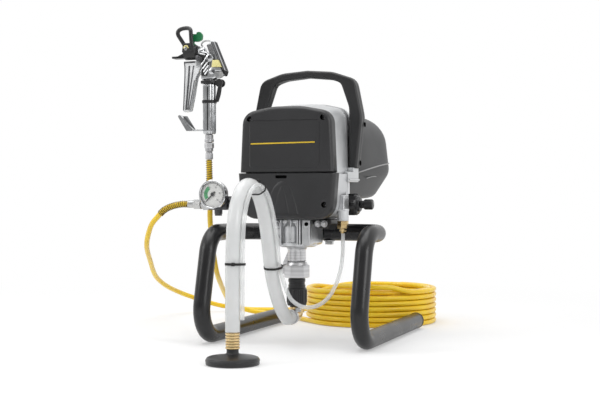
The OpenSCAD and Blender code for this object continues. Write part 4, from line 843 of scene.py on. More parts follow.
def cross_slot(at, along):
    """A flat dark cross on top of a screw head: painted shade where its cross recess is."""
    at = Vector(at) + TURN[along] @ Vector((0, 0, 2.3))
    return stood(gather(mill((-2.2, -0.35, 0), (2.2, 0.35, 0.2), 0.05, 1),
                        mill((-0.35, -2.2, 0), (0.35, 2.2, 0.2), 0.05, 1)), along, at)


screw_spots = [((x, FRONT_Y + 6.9, z), "-Y") for x, z in SCREWS]
screw_spots += [((x, 114.5, z), "X" if x > 0 else "-X")
                for x, z in ((84.5, 305), (85.5, 371), (-84.5, 305), (-85.5, 371))]
piece("cover_screws", gather(*[pan_head(at, way) for at, way in screw_spots]), "dark_steel",
      stands_for="body_screws")
piece("cover_screw_slots", gather(*[cross_slot(at, way) for at, way in screw_spots]),
      "painted_shade_black", weighted=False)
print("covers done")

# %% [markdown]
# ## Gear case
# The silver case behind the covers is a casting. It swells towards the back, where a flange joins
# it to the motor, and it is cut back at the sides so that the handle can stand on a ledge.

# %% Gear case and motor flange
def case_skin(steps):
    """A shell from (outline, depth) steps."""
    return skin([upright(points, y) for points, y in steps])


def case_top(inset, rise, half):
    return rounded(two_sided([
        (-half + inset, SEAM_Z - 2, 0), (-half + 4.5 + inset, TOP_Z - 9 - inset + rise, 24),
        (-26, TOP_Z + 1 - inset + rise, 120)]), 8)


case_upper = case_skin([
    (case_top(2.2, 0, 82.5), 15.2), (case_top(1.4, 0, 82.5), 16.0), (case_top(1.4, 1, 82.2), 24),
    (case_top(1.6, 4.5, 81.4), 42), (case_top(1.9, 8.5, 80.2), 62), (case_top(2.3, 11, 79), 80),
    (case_top(2.6, 12, 78), 93.4), (case_top(3.4, 11.2, 78), 94.2)])
case_neck = case_skin([
    (case_top(4.0, 10.5, 79), 93.0), (case_top(4.0, 11, 79), 104), (case_top(3.0, 12.4, 79), 107),
    (case_top(3.0, 12.4, 79), 109.0), (case_top(3.6, 12, 79), 109.6)])
case_lower = case_skin([
    (lower_outline(2.4), 15.2), (lower_outline(1.6), 16.0), (lower_outline(1.6), 62.0),
    (lower_outline(3.2), 64.0)])
low_back = rounded([(-70, 289, 0), (70, 289, 0), (70, 222, 12), (52, 209.4, 12),
                    (-52, 209.4, 12), (-70, 222, 12)], 5)
rear_block = press(low_back, 60, 109.6, rim=0.8)
ledge = mirrored(gather(
    mill((66, 62.5, 272.2), (86.4, 121.6, 289.6), 1.6, 3),
    mill((66, 92.5, 287), (86.2, 121.4, 296.8), 1.4, 3),
    mill((84.4, 64, 274.5), (88.4, 121.4, 277.5), 1.0)))
case_ribs = mirrored(gather(*[mill((69, y, 226), (73, y + 2.6, 272.5), 0.7) for y in (72, 92)]))
piece("gear_case_casting", gather(case_upper, case_neck, case_lower, rear_block, ledge, case_ribs),
      "housing_silver", stands_for="gear_housing", angle=40)
flange_ring = case_skin([
    (case_top(3.0, 12.4, 79), 110.0), (case_top(2.4, 13, 79), 110.6),
    (case_top(2.4, 13, 79), 121.2), (case_top(3.0, 12.4, 79), 121.8)])
flange_low = press(low_back, 110.2, 121.8, rim=0.8)
piece("motor_flange_casting", gather(flange_ring, flange_low), "cast_aluminium",
      stands_for="motor_flange", angle=40)

# %% [markdown]
# ## Handle
# The bow handle is moulded in two halves. Each half is a flat arch with a big soft edge on its
# outer side and a small one at the joint, so the parting line shows all the way round.

# %% Handle halves
handle_outer = rounded([(90, 297, 0), (99.5, 383, 60), (86, 449, 20), (46, 462.5, 60),
                        (0, 466, 0)], 12)[:-1]
handle_inner = rounded([(76, 297, 0), (76, 400, 26), (61, 443, 12), (42, 449.5, 50),
                        (0, 453.5, 0)], 12)[:-1]


def evenly(points, count):
    """Points at equal steps along a line."""
    lengths = [0.0]
    for a, b in zip(points, points[1:]):
        lengths.append(lengths[-1] + math.dist(a, b))
    spots = []
    for i in range(count):
        want = lengths[-1] * i / (count - 1)
        k = max(j for j in range(len(points) - 1) if lengths[j] <= want + 1e-9)
        share = (want - lengths[k]) / (lengths[k + 1] - lengths[k])
        spots.append(tuple(u + (v - u) * share for u, v in zip(points[k], points[k + 1])))
    return spots


def bow_half(front, back, soft_front, soft_back):
    """One half of the bow: a soft-edged section carried along from foot to foot."""
    outer = evenly(handle_outer + [(0, 466)], 42)
    inner = evenly(handle_inner + [(0, 453.5)], 42)
    pairs = list(zip(outer, inner))
    pairs += [((-o[0], o[1]), (-i[0], i[1])) for o, i in reversed(pairs[:-1])]
    corners = [(0, front, soft_front, 1, 1), (0, back, soft_back, 1, -1),
               (1, back, soft_back, -1, -1), (1, front, soft_front, -1, 1)]
    rings = []
    for o, i in pairs:
        width = math.dist(o, i)
        section = []
        for side, y, r, inward, along in corners:
            steps = range(6) if (side == 0) == (along == -1) else range(5, -1, -1)
            for k in steps:
                a = math.radians(18 * k)
                u = side * width + inward * r * (1 - math.cos(a))
                v = y + along * r * (1 - math.sin(a))
                section.append((u / width, v))
        rings.append([(o[0] + (i[0] - o[0]) * u, v, o[1] + (i[1] - o[1]) * u)
                      for u, v in section])
    return skin(rings)


piece("handle_front", bow_half(95.2, 107.8, 4.6, 0.8), "handle_plastic",
      stands_for="handle_front_half", angle=60)
piece("handle_rear", bow_half(108.2, 120.8, 0.8, 4.6), "handle_plastic",
      stands_for="handle_rear_half", angle=60)
# Painted shade: thin black discs stand for the dark inside the handle's screw wells.
wells = [disc(4.6, 0, 0.2, way, at, 24)
         for at, way in [((99.55, 114.5, 371), "X"), ((-99.55, 114.5, 371), "-X"),
                         ((91.6, 114.5, 305), "X"), ((-91.6, 114.5, 305), "-X")]]
piece("handle_screw_wells", gather(*wells), "painted_shade_black", weighted=False)

# %% [markdown]
# ## Motor cover
# The cover over the motor is a smooth shell that rounds off behind. Rings of one outline, set one
# behind another and bridged, give its long soft shape; a ridge runs back along each side.

# %% Motor cover shell
MOTOR_Y = 122.0


def cover_ring(inset, n=9):
    top_r, low_r = 58 - inset, 18 - inset * 0.3
    return rounded([
        (88 - inset, 293, 30 - inset * 0.4), (76 - inset, 399 - inset, top_r),
        (-76 + inset, 399 - inset, top_r), (-88 + inset, 293, 30 - inset * 0.4),
        (-56 + inset * 0.7, 243 + inset, low_r), (56 - inset * 0.7, 243 + inset, low_r)], n)


stations = [(0.4, 4.2), (1.4, 3.2), (16, 2.2), (40, 1.0), (75, 0.2), (110, 0), (150, 0.4),
            (180, 1.4), (196, 2.6), (205, 4.2), (211, 6.6), (216, 10.4), (219.5, 15.5),
            (221.3, 22), (221.9, 30)]
shell = case_skin([(cover_ring(inset), MOTOR_Y + y) for y, inset in stations])
piece("motor_cover_shell", shell, "motor_plastic", stands_for="motor_cover",
      angle=60)


def on_cover(side, t, z, lift=0.6):
    """A point on the cover's side at length t and height z."""
    for (a, ia), (b, ib) in zip(stations, stations[1:]):
        if a <= t <= b:
            inset = ia + (ib - ia) * (t - a) / (b - a)
    ring = cover_ring(inset, 24)
    near = min((p for p in ring if p[0] > 0), key=lambda p: abs(p[1] - z))
    return Vector((side * (near[0] + lift), MOTOR_Y + t, z))


ridges = []
for hand in (1, -1):
    line = [on_cover(hand, t, 288 + 22 * t / 200 + 2 * math.sin(t / 60), 0.1)
            for t in range(2, 206, 7)]
    ridges.append(bend(line, 1.3, 12))
    accent = [on_cover(hand, t, 279 + 5 * math.sin((t - 55) / 38), 0.0) for t in range(60, 125, 6)]
    ridges.append(bend(accent, 0.9, 10))
# The ridges are light grey: a painted highlight along each side of the cover.
piece("motor_cover_ridges", gather(*ridges), "ridge_painted_highlight", angle=60)

# %% Vents of the motor cover
# Painted shade: the vents are black blocks, standing for the dark inside the slots.
vents = []
for i in range(6):
    vents.append(mill((-40, 155 + i * 13 - 2.6, 242.7), (40, 155 + i * 13 + 2.6, 245.5), 1.2))
for i in range(-3, 4):
    vents.append(mill((i * 12 - 2.6, 341.4, 306), (i * 12 + 2.6, 344.1, 352), 1.2))
piece("motor_cover_vents", gather(*vents), "painted_shade_black")

# %% Power-cable gland at the back
gland = gather(lathe([(4.2, 0), (10.4, 0), (11, 0.8), (11, 4.2), (10.2, 5), (8.8, 5.2), (8.4, 6),
                      (8.4, 8), (7.6, 8.4), (7.6, 9.6), (8.2, 10), (8.2, 11.6), (7.2, 12.2),
                      (7.2, 13.4), (6.8, 14), (4.2, 14), (4.2, 0)], "Y", (-30, 344.2, 293)))
piece("cable_gland_boot", gland, "cap_rubber", stands_for="cable_gland")
print("body done:", len(made), "pieces")

# %% [markdown]
# ## Pump
# Under the body hangs the pump casting, ribbed in front. The cylinder, its big nut, the black
# inlet and the elbow follow below on one axis, so most of them are turned on the lathe.

# %% Pump casting
PUMP_Y, PORT_X = 46.0, 82.0    # the pump's axis, and the return port's
bar = mill((-88, 33, 224), (88, 59.6, 250), 1.6, 3)
neck = mill((-33.5, 33, 207), (33.5, 59.6, 226), 1.0)
block = press(rounded([(-34, 208.6, 1), (34, 208.6, 1), (34, 167, 5), (18, 162.2, 8),
                       (-18, 162.2, 8), (-34, 167, 5)], 5), 24, 82.4, rim=1.4, segments=3)
bulge = lathe([(0, 163), (11, 163), (13, 165), (13.4, 168), (13.4, 196), (11, 199.4),
               (10, 208.6), (0, 208.6)], at=(-4, 31, 0), steps=56)
drum = lathe([(0, 162.6), (29, 162.6), (32.6, 164.4), (33.4, 167), (33.4, 169.6), (32, 170.6),
              (0, 170.6)], at=(0, 50, 0), steps=80)
ribs = [mill((x - 1.4, 15.6, 166.5), (x + 1.4, 34, 208.6), 1.3, 3)
        for x in (-18.6, 11.6, 15.6, 32.4)]
ribs.append(mill((-1.8, 15.8, 197), (1.2, 30, 208.6), 1.3, 3))
ribs.append(mill((17.6, 20, 166.5), (31, 34, 208.6), 1.3, 3))
skirts = [mill((-33.4, 22, 202), (33.4, 40, 208.6), 1.5, 3),
          mill((-30, 23, 166.4), (30, 40, 169.6), 1.3, 3)]
eye = press(rounded([(20.4, 208.6, 0), (34, 208.6, 0), (33, 195.4, 5), (21.4, 195.4, 5)]),
            17.4, 31, rim=1.0, segments=3)
bolt_pads = [lathe([(0, 0), (7.5, 0), (7.5, 11), (6.8, 12), (0, 12)], "-Y", (x, 27, z), 28)
             for x, z in ((-25.5, 200), (-25.5, 174))]
port = lathe([(0, 206.8), (9, 206.8), (9.6, 207.4), (9.6, 222), (10.4, 224), (10.4, 227),
              (0, 227)], at=(PORT_X, PUMP_Y, 0), steps=36)
piece("pump_casting", gather(bar, neck, block, bulge, drum, *ribs, *skirts, eye, *bolt_pads, port),
      "cast_aluminium", stands_for="pump_manifold", angle=40)
# Painted shade: a black disc stands for the dark inside the casting's eye.
eye_hole = disc(3.4, 0, 0.3, "-Y", (27.2, 17.35, 201.5), 28)
piece("pump_eye_hole", eye_hole, "painted_shade_black", weighted=False)
pad_bolts = []
for x, z in ((-25.5, 200), (-25.5, 174)):
    pad_bolts += [hexagon(8, 4, "-Y", (x, 15, z)), disc(5, 0, 0.9, "-Y", (x, 15.2, z), 24)]
piece("pump_casting_bolts", gather(*pad_bolts), "turned_steel")

# %% Bracket and two bright bolts beside the casting
shelf = mill((36, 30, 201), (66, 62, 209), 1.2)
lug = mill((40, 26, 195), (62, 34, 209), 1.2)
piece("pump_bracket", gather(shelf, lug), "knob_plastic")
bright_bolts = []
for x in (45, 56):
    bright_bolts += [disc(5.6, 0, 1.1, "-Y", (x, 26, 202), 28),
                     hexagon(8, 5.0, "-Y", (x, 25, 202)),
                     lathe([(0, 0), (2.6, 0), (2.6, 2.6), (2, 3.2), (0, 3.2)], "-Y",
                           (x, 20.4, 202), 20)]
piece("pump_bracket_bolts", gather(*bright_bolts), "turned_steel")

# %% Cylinder, nut and inlet
cylinder = lathe([(0, 162), (17.2, 162), (17.2, 160.4), (15.8, 158.6), (15.4, 157), (15.4, 139.6),
                  (16.2, 138.4), (14, 137.4), (14, 110), (0, 110)], at=(0, PUMP_Y, 0), steps=64)
piece("pump_cylinder_turned", cylinder, "turned_steel",
      stands_for="pump_cylinder", angle=32)
nut = swung(hexagon(38, 21.4, "Z", (0, PUMP_Y, 110.4), 1.6), -8, "Z", (0, PUMP_Y, 0))
collar = lathe([(14, 131), (19, 131), (18.6, 132.4), (16.6, 136.4), (14, 136.4)],
               at=(0, PUMP_Y, 0), steps=56)
rib_web = press([(-14, 156), (-14, 132), (-24, 132), (-23.4, 136)], PUMP_Y - 4.5, PUMP_Y + 4.5,
                rim=0.8)
side_boss = lathe([(3.2, 0), (7.4, 0), (8, 0.6), (8, 9), (3.2, 9)], "-X", (-15.5, PUMP_Y, 124), 32)
piece("cylinder_nut_milled", gather(nut, collar, rib_web, side_boss), "turned_steel",
      stands_for="cylinder_nut", angle=32)
pusher = lathe([(0, 15), (5.4, 15), (6, 14.4), (6, 12), (5.4, 11.4), (3, 11), (3, 0), (0, 0)],
               "-X", (-17, PUMP_Y, 124), 28)
piece("pusher_button", pusher, "red_plastic", body="pusher",
      stands_for="inlet_pusher")
inlet = lathe([(0, 109), (13.4, 109), (14.5, 108.2), (14.5, 103.6), (13.6, 102.8), (13.6, 99),
               (14.5, 98.2), (14.5, 93.6), (15.6, 92.8), (16.5, 92), (16.5, 66), (15.6, 63.4),
               (10.5, 62.4), (10, 61.8), (10, 50), (0, 50)], at=(0, PUMP_Y, 0), steps=56)
flutes = [swung(mill((15.4, PUMP_Y - 1.6, 68), (17.4, PUMP_Y + 1.6, 90), 0.7), 30 * i, "Z",
                (0, PUMP_Y, 0)) for i in range(12)]
piece("inlet_body", gather(inlet, *flutes), "knob_plastic",
      stands_for="inlet_housing")

# %% Elbow and its clamp
elbow_line = [(0, PUMP_Y, 62), (0, PUMP_Y, 56)]
for i in range(1, 9):
    a = math.radians(90 * i / 9)
    elbow_line.append((0, PUMP_Y - 10 * (1 - math.cos(a)), 56 - 10 * math.sin(a)))
elbow_line += [(0, PUMP_Y - 10, 46), (0, 24.2, 46)]
elbow = bend(elbow_line, 10.6, 28)
elbow_cup = lathe([(0, 51), (11.4, 51), (12.5, 52), (12.5, 60.8), (11.8, 61.6), (0, 61.6)],
                  at=(0, PUMP_Y, 0), steps=44)
piece("suction_elbow_bent", gather(elbow, elbow_cup), "brass",
      stands_for="suction_elbow")
clamp = lathe([(10.6, 0), (12.2, 0), (12.6, 0.4), (12.6, 6.6), (12.2, 7), (10.6, 7)], "-Y",
              (0, 23.4, 46))
ear = mill((8, 16.9, 54.6), (15, 22.9, 62), 0.8)
ear_screw = lathe([(0, 0), (2.6, 0), (3, 0.4), (3, 2), (0, 2.4)], "X", (14.8, 19.9, 58.4), 20)
piece("elbow_clamp", gather(clamp, ear, ear_screw), "turned_steel")

# %% Return port on the right
hex_part = hexagon(16.8, 12.6, "Z", (PORT_X, PUMP_Y, 194.2), 0.6)
barbs = lathe([(0, 195), (6.2, 195), (6.2, 190.2), (5.6, 189.4), (4.4, 189.2), (4.4, 186.2),
               (0, 186.2)], at=(PORT_X, PUMP_Y, 0), steps=32)
washer = disc(8.4, 206.6, 205.4, at=(PORT_X, PUMP_Y, 0), steps=32)
piece("return_fitting_brass", gather(hex_part, barbs, washer), "brass",
      stands_for="return_fitting", angle=32)

# %% [markdown]
# ## Gauge and outlet
# On the left a pipe carries the pressure to a block with a round gauge in front and the outlet
# to the spray hose at its end. The dial has plain numbers only.

# %% Block, pipe and fittings
GX, GY, GZ = -142.0, 12.0, 251.0    # the middle of the gauge's front
pipe = lathe([(0, 0), (8.4, 0), (8.4, 10), (9.2, 10.6), (9.2, 14), (8.4, 14.6), (8.4, 37.2),
              (0, 37.2)], "X", (-125, PUMP_Y, 237), 40)
union = hexagon(22, 12, "X", (-120, PUMP_Y, 237), 0.9)
gauge_block = mill((-160, 34, 224.2), (-124, 58, 248), 2.2, 3)
stem = lathe([(0, 0), (11, 0), (11, 21), (10, 22), (0, 22)], "Y", (GX, 34.2, GZ), 36)
drain = gather(disc(7, 217.4, 224.4, at=(-145, PUMP_Y, 0), steps=32),
               hexagon(11, 5, "Z", (-145, PUMP_Y, 214)))
piece("gauge_block_milled", gather(pipe, union, gauge_block, stem, drain), "dark_steel",
      stands_for="gauge_block", angle=36)
outlet = gather(hexagon(20, 12, "X", (-172, PUMP_Y, 234), 0.8),
                disc(7, 0, 8, "X", (-178.6, PUMP_Y, 234), 32),
                hexagon(17, 13, "X", (-190, PUMP_Y, 234), 0.7),
                lathe([(0, 0), (5.4, 0), (6.6, 1), (6.6, 14), (0, 14)], "X",
                      (-203, PUMP_Y, 234), 32))
piece("outlet_fitting_turned", outlet, "zinc_steel",
      stands_for="outlet_fitting", angle=36)

# %% Gauge case, dial, needle and glass
case = lathe([(0, 5), (21.6, 5), (21.6, 3.4), (21.9, 3.0), (21.9, 0.5), (22.6, 0), (24.2, 0),
              (25, 0.8), (25, 4.8), (24.2, 5.6), (0, 5.6)], "Y", (GX, GY, GZ), 72)
can = lathe([(0, 5.2), (23.2, 5.2), (23.4, 6.0), (23.4, 16), (22.4, 18.4), (19.8, 20), (0, 20)],
            "Y", (GX, GY, GZ), 72)
piece("gauge_can_drawn", can, "zinc_steel", angle=34)
back_nut = gather(hexagon(14, 2.6, "Y", (GX, 31.4, GZ)), disc(4, 0, 12, "Y", (GX, 31.5, GZ), 24))
piece("gauge_case_spun", gather(case, back_nut), "bright_chrome",
      stands_for="gauge_case", angle=34)
dial = lathe([(2.05, 0), (21.4, 0), (21.4, 1.6), (2.05, 1.6), (2.05, 0)], "Y",
             (GX, GY + 3.3, GZ), 64)
piece("gauge_dial_plate", dial, "white_print", stands_for="gauge_dial")


def on_dial(angle, radius, lift=3.24):
    """A point on the dial; the angle goes clockwise from straight down."""
    a = math.radians(-90 - angle)
    return Vector((GX + radius * math.cos(a), GY + lift, GZ + radius * math.sin(a)))


def dial_bar(angle, r0, r1, width):
    """A raised bar on the dial, from one radius to another."""
    bm = bmesh.new()
    a = math.radians(-90 - angle)
    foot = Vector((GX, GY + 3.18, GZ))
    out = Vector((math.cos(a), 0, math.sin(a)))
    side_way = Vector((-out.z, 0, out.x)) * width / 2
    flat = [foot + out * r0 - side_way, foot + out * r1 - side_way,
            foot + out * r1 + side_way, foot + out * r0 + side_way]
    thicken(bm, [bm.faces.new([bm.verts.new(p) for p in flat])], 0.18)
    return bm


def dial_band(first, last_angle, r0, r1, lift=3.2, n=24):
    """A flat ring sector on the dial."""
    bm = bmesh.new()
    inner, outer = [[bm.verts.new(on_dial(first + (last_angle - first) * i / n, r, lift))
                     for i in range(n + 1)] for r in (r0, r1)]
    thicken(bm, [bm.faces.new((inner[i], outer[i], outer[i + 1], inner[i + 1]))
                 for i in range(n)], 0.16)
    return bm


marks = [dial_bar(45 + 270 * i / 50, 16.6 if i % 10 == 0 else 18.2, 20.2,
                  0.95 if i % 10 == 0 else 0.42) for i in range(51)]
marks.append(dial_band(45, 315, 20.2, 20.6))
piece("dial_marks", gather(*marks), "black_print", weighted=False)
piece("dial_green_sector", dial_band(56, 150, 9.6, 16.4, 3.22), "green_print",
      weighted=False)

STROKES = {"0": [(0, 0, 0, 4), (0, 4, 2, 4), (2, 4, 2, 0), (2, 0, 0, 0)],
           "1": [(1, 0, 1, 4)], "2": [(0, 4, 2, 4), (2, 4, 2, 2), (2, 2, 0, 2), (0, 2, 0, 0),
                                      (0, 0, 2, 0)],
           "3": [(0, 4, 2, 4), (2, 4, 2, 0), (0, 2, 2, 2), (0, 0, 2, 0)],
           "4": [(0, 4, 0, 2), (0, 2, 2, 2), (2, 4, 2, 0)],
           "5": [(2, 4, 0, 4), (0, 4, 0, 2), (0, 2, 2, 2), (2, 2, 2, 0), (2, 0, 0, 0)]}
digits = []
for i in range(6):
    label = str(i * 10)
    middle = on_dial(45 + 54 * i, 13.2)
    for k, digit in enumerate(label):
        left = middle.x + (k - len(label) / 2) * 1.9
        for x0, z0, x1, z1 in STROKES[digit]:
            low = (left + min(x0, x1) * 0.6 - 0.16, GY + 3.12, middle.z + min(z0, z1) * 0.6 - 1.36)
            high = (left + max(x0, x1) * 0.6 + 0.16, GY + 3.34,
                    middle.z + max(z0, z1) * 0.6 - 1.04)
            digits.append(mill(low, high, 0.02, 1))
piece("dial_numbers", gather(*digits), "black_print", weighted=False)
needle_shape = gather(
    lathe([(0, 1.75), (1.8, 1.75), (2, 1.95), (2, 4.6), (0, 4.6)], "Y", (GX, GY, GZ), 32),
    lathe([(0, 1.75), (3.4, 1.75), (3.6, 1.9), (3.6, 2.5), (0, 2.5)], "Y", (GX, GY, GZ), 32),
    swung(press([(GX - 1.7, GZ - 6), (GX + 1.7, GZ - 6), (GX + 0.6, GZ + 17.6),
                 (GX - 0.6, GZ + 17.6)], GY + 1.9, GY + 2.7, rim=0.1, segments=1),
          -135, "Y", (GX, GY, GZ)))
piece("gauge_pointer", needle_shape, "black_print", body="needle",
      stands_for="gauge_needle", weighted=False)
glass = lathe([(0, 0.3), (20.8, 0.35), (21.6, 0.6), (21.6, 1.3), (0, 1.3)], "Y", (GX, GY, GZ), 64)
piece("gauge_glass_disc", glass, "gauge_glass", stands_for="gauge_lens", weighted=False)
print("pump and gauge done:", len(made), "pieces")

# %% [markdown]
# ## Controls
# On the right sit the lobed prime knob and, on the same axis, the small pressure knob. The rocker
# switch is on the left, under the ledge.

# %% Valve body and prime knob
VY, VZ, KX = 85.0, 234.0, 79.0    # the valve's axis, and where the knobs begin
valve = lathe([(0, 0), (12.4, 0), (13, 0.6), (13, 6), (12, 6.8), (10, 7.4), (10, 8.4), (4, 8.4),
               (4, 30.8), (3, 31.2), (3, 45), (0, 45)], "X", (70.2, VY, VZ), 44)
piece("prime_valve_body", valve, "knob_plastic", stands_for="prime_valve")


def star_knob(x_steps, lobes, n=96):
    """A lobed knob from rings (x, mean radius, lobe height) round the valve's axis."""
    rings = []
    for x, radius, lift in x_steps:
        around = [(radius + lift * math.cos(lobes * math.tau * i / n), math.tau * i / n)
                  for i in range(n)]
        rings.append([(x, VY + r * math.cos(a), VZ + r * math.sin(a)) for r, a in around])
    return skin(rings)


prime = star_knob([(KX, 4.2, 0), (KX, 15.4, 1.4), (KX + 0.8, 16.9, 1.8), (KX + 3, 17.5, 1.8),
                   (KX + 13, 17.3, 1.8), (KX + 16.4, 16.6, 1.7), (KX + 17.8, 15.2, 1.3),
                   (KX + 18, 14.1, 0.5), (KX + 18.2, 12.6, 0.1), (KX + 21, 12.2, 0),
                   (KX + 21.8, 11.4, 0), (KX + 22, 9, 0), (KX + 22, 4.2, 0)], 6)
GRIP_TURNS = [60 * i + 90 + 7 * j for i in range(6) for j in (-1, 0, 1)]
grips = [swung(mill((KX + 3, VY - 0.5, VZ + 17.4), (KX + 14, VY + 0.5, VZ + 19.8), 0.3),
               degrees, "X", (0, VY, VZ)) for degrees in GRIP_TURNS]
piece("prime_knob_moulded", gather(prime, *grips), "knob_plastic", body="prime",
      stands_for="prime_knob", angle=44)

# %% Pressure knob
pressure = lathe([(3.2, 22.6), (6, 22.6), (6.5, 23.2), (6.5, 28), (7.6, 28.4), (8.2, 29.2),
                  (8.2, 42.2), (7.4, 43.6), (5, 44), (0, 44)], "X", (KX, VY, VZ), 40)
teeth = [swung(mill((KX + 29.6, VY - 0.6, VZ + 7.6), (KX + 42.4, VY + 0.6, VZ + 8.8), 0.4), 15 * i,
               "X", (0, VY, VZ)) for i in range(24)]
piece("pressure_knob_moulded", gather(pressure, *teeth), "knob_plastic",
      body="pressure", stands_for="pressure_knob", angle=44)
pointer = mill((KX + 43.7, VY - 0.7, VZ), (KX + 44.25, VY + 0.7, VZ + 6), 0.1, 1)
piece("pressure_knob_mark", pointer, "white_print", body="pressure",
      weighted=False)

# %% Rocker switch
frame_side = gather(mill((-96, 67, 270.4), (-70.1, 101, 271.9), 0.5),
                    mill((-96, 67, 255.2), (-70.1, 101, 256.8), 0.5),
                    mill((-96, 67, 255.4), (-70.1, 71.4, 271.8), 0.5),
                    mill((-96, 96.6, 255.4), (-70.1, 101, 271.8), 0.5),
                    mill((-83, 70, 256), (-70.1, 98, 271), 0.4))
piece("switch_housing", frame_side, "knob_plastic", stands_for="switch_box")
rocker = press([(-87, 260.5), (-93, 259.3), (-96.4, 259.3), (-95, 263.7), (-98, 267.7),
                (-93, 267.7), (-87, 266.5)], 73.2, 94.8, rim=0.6)
piece("switch_rocker_key", rocker, "red_plastic", body="rocker",
      stands_for="switch_rocker")
print("controls done")

# %% [markdown]
# ## Strainer foot, coupling and straps
# The foot is a shallow dish with a pierced plate inside. A ribbed brass coupling ties it to the
# suction hose, and three straps hold the thin return tube against the thick hose.

# %% Strainer foot
FX, FY = -3.0, -221.0    # the foot's middle
dish = lathe([(0, 24), (8.4, 24), (9, 23.4), (9, 17.6), (10.4, 15.8), (22, 13.2), (35.4, 11.4),
              (38.4, 10.2), (40, 7.8), (40, 1.2), (39.2, 0.2), (34.6, 0.2), (34, 0.8), (34, 7.4),
              (9, 11.6), (5, 13.4), (0, 14)], at=(FX, FY, 0), steps=72)
rim_bead = lathe([(39.4, 7.4), (40.5, 6.8), (40.5, 5.4), (39.4, 4.8), (39.4, 7.4)],
                 at=(FX, FY, 0), steps=72)
piece("foot_dish", gather(dish, rim_bead), "knob_plastic",
      stands_for="strainer_foot", angle=32)
plate = bmesh.new()
rims = [closed_loop(plate, upright(circle(0, 0, 33.6, 72), 0))]
for ring_r, count in ((8, 6), (16, 12), (24, 18)):
    for i in range(count):
        a = math.tau * i / count
        rims.append(closed_loop(plate, upright(circle(ring_r * math.cos(a), ring_r * math.sin(a),
                                                      2.4, 12), 0)))
bmesh.ops.triangle_fill(plate, use_beauty=True, use_dissolve=False,
                        edges=[e for rim in rims for e in rim], normal=(0, -1, 0))
thicken(plate, list(plate.faces), 1.6)
bmesh.ops.transform(plate, matrix=Matrix.Translation((FX, FY, 2.2)) @ TURN["-Y"].inverted()
                    @ Matrix.Rotation(math.pi, 4, "X"), verts=plate.verts)
foot_plate = piece("foot_plate", plate, "zinc_steel", weighted=False)

# %% Ribbed coupling
profile = [(5.4, 22.2), (9.0, 22.2), (9.6, 22.8)]
for i in range(6):
    z = 23.4 + i * 4.1
    profile += [(10.6, z), (10.8, z + 0.5), (10.8, z + 2.0), (10.6, z + 2.4), (9.5, z + 2.9),
                (9.5, z + 3.6)]
profile += [(9.0, 48), (5.4, 48), (5.4, 22.2)]
coupling = piece("foot_coupling_turned", lathe(profile, at=(FX, FY, 0), steps=56), "brass",
                 stands_for="foot_coupling", angle=40)


# %% Straps round both hoses
def strap(i):
    """A strap square to the hose at its route point i."""
    here = Vector(suction_points[i])
    along = (Vector(suction_points[i + 1]) - Vector(suction_points[i - 1])).normalized()
    lean = Matrix.Rotation(math.atan2(along.z, along.y) - math.pi / 2, 4, "X")
    loop = rounded([(-11.6, 11.6, 11.6), (-11.6, -11.6, 11.6), (11.0, -11.6, 11.6),
                    (19.6, -4.6, 4.4), (19.6, 4.6, 4.4), (11.0, 11.6, 11.6)], 10)
    inner = rounded([(-10.9, 10.9, 10.9), (-10.9, -10.9, 10.9), (10.6, -10.9, 10.9),
                     (18.9, -4.1, 3.7), (18.9, 4.1, 3.7), (10.6, 10.9, 10.9)], 10)
    band = skin([[(x, y, height) for x, y in outline] for outline, height in (
        (inner, -1.8), (loop, -1.8), (loop, 1.8), (inner, 1.8))], endless=True)
    knuckle = mill((3.5, -14.4, -2.6), (8.5, -10.4, 2.6), 0.8)
    whole = gather(band, knuckle)
    bmesh.ops.transform(whole, matrix=Matrix.Translation(here) @ lean, verts=whole.verts)
    return whole


straps = piece("hose_straps", gather(*[strap(i) for i in (2, 8, 13)]), "cap_rubber",
               stands_for="hose_bands", angle=50)


# %% Spring guards where the pressure hose enters its fittings
def spring(points, start, end, curls, per_turn=14):
    """A wire wound close round the hose between two distances along it."""
    marks = [0.0]
    for a, b in zip(points, points[1:]):
        marks.append(marks[-1] + (Vector(b) - Vector(a)).length)

    def at(s):
        k = max(j for j in range(len(points) - 1) if marks[j] <= s + 1e-9)
        share = (s - marks[k]) / (marks[k + 1] - marks[k])
        return Vector(points[k]).lerp(Vector(points[k + 1]), share)
    line = []
    total = curls * per_turn
    for i in range(total + 1):
        s = start + (end - start) * i / total
        ahead = (at(s + 1) - at(max(0, s - 1))).normalized()
        u = ahead.cross(Vector((0.3, 1, 0.2))).normalized()
        v = ahead.cross(u)
        a = math.tau * i / per_turn
        line.append(at(s) + (u * math.cos(a) + v * math.sin(a)) * (HOSE_D / 2 + 0.78))
    return line


wires = gather(bend(spring(hose_line, 1, 62, 17), 0.62, 8),
               bend(spring(list(reversed(hose_line)), 1, 46, 12), 0.62, 8))
guards = piece("hose_spring_guards", wires, "spring_bronze",
               stands_for="hose_guards", angle=60, weighted=False)

# %% [markdown]
# The three lines are free cords; their lengths are measured.

round(length_of(suction_line) * MM, 3)
round(length_of(return_line) * MM, 3)
print("cords:", [round(v, 2) for v in (length_of(suction_line) * MM, length_of(return_line) * MM,
                                       hose_length)])

# %% [markdown]
# ## Spray gun
# The gun hangs upright on its hose. It lies in one plane, so its body, arm and trigger are pressed
# outlines of different thickness with soft rims, and everything round on it is turned.

# %% Gun body
GUN_Y, GRIP_X, BARREL_Z = 36.0, -158.0, 498.0    # the gun's plane, grip axis and barrel axis
LOCK_X, LOCK_Z = -137, 443                       # the pin of the hand lock


def plate_of(corners, width, rim=1.0, segments=3, n=6):
    return press(rounded(corners, n), GUN_Y - width / 2, GUN_Y + width / 2, rim=rim,
                 segments=segments)


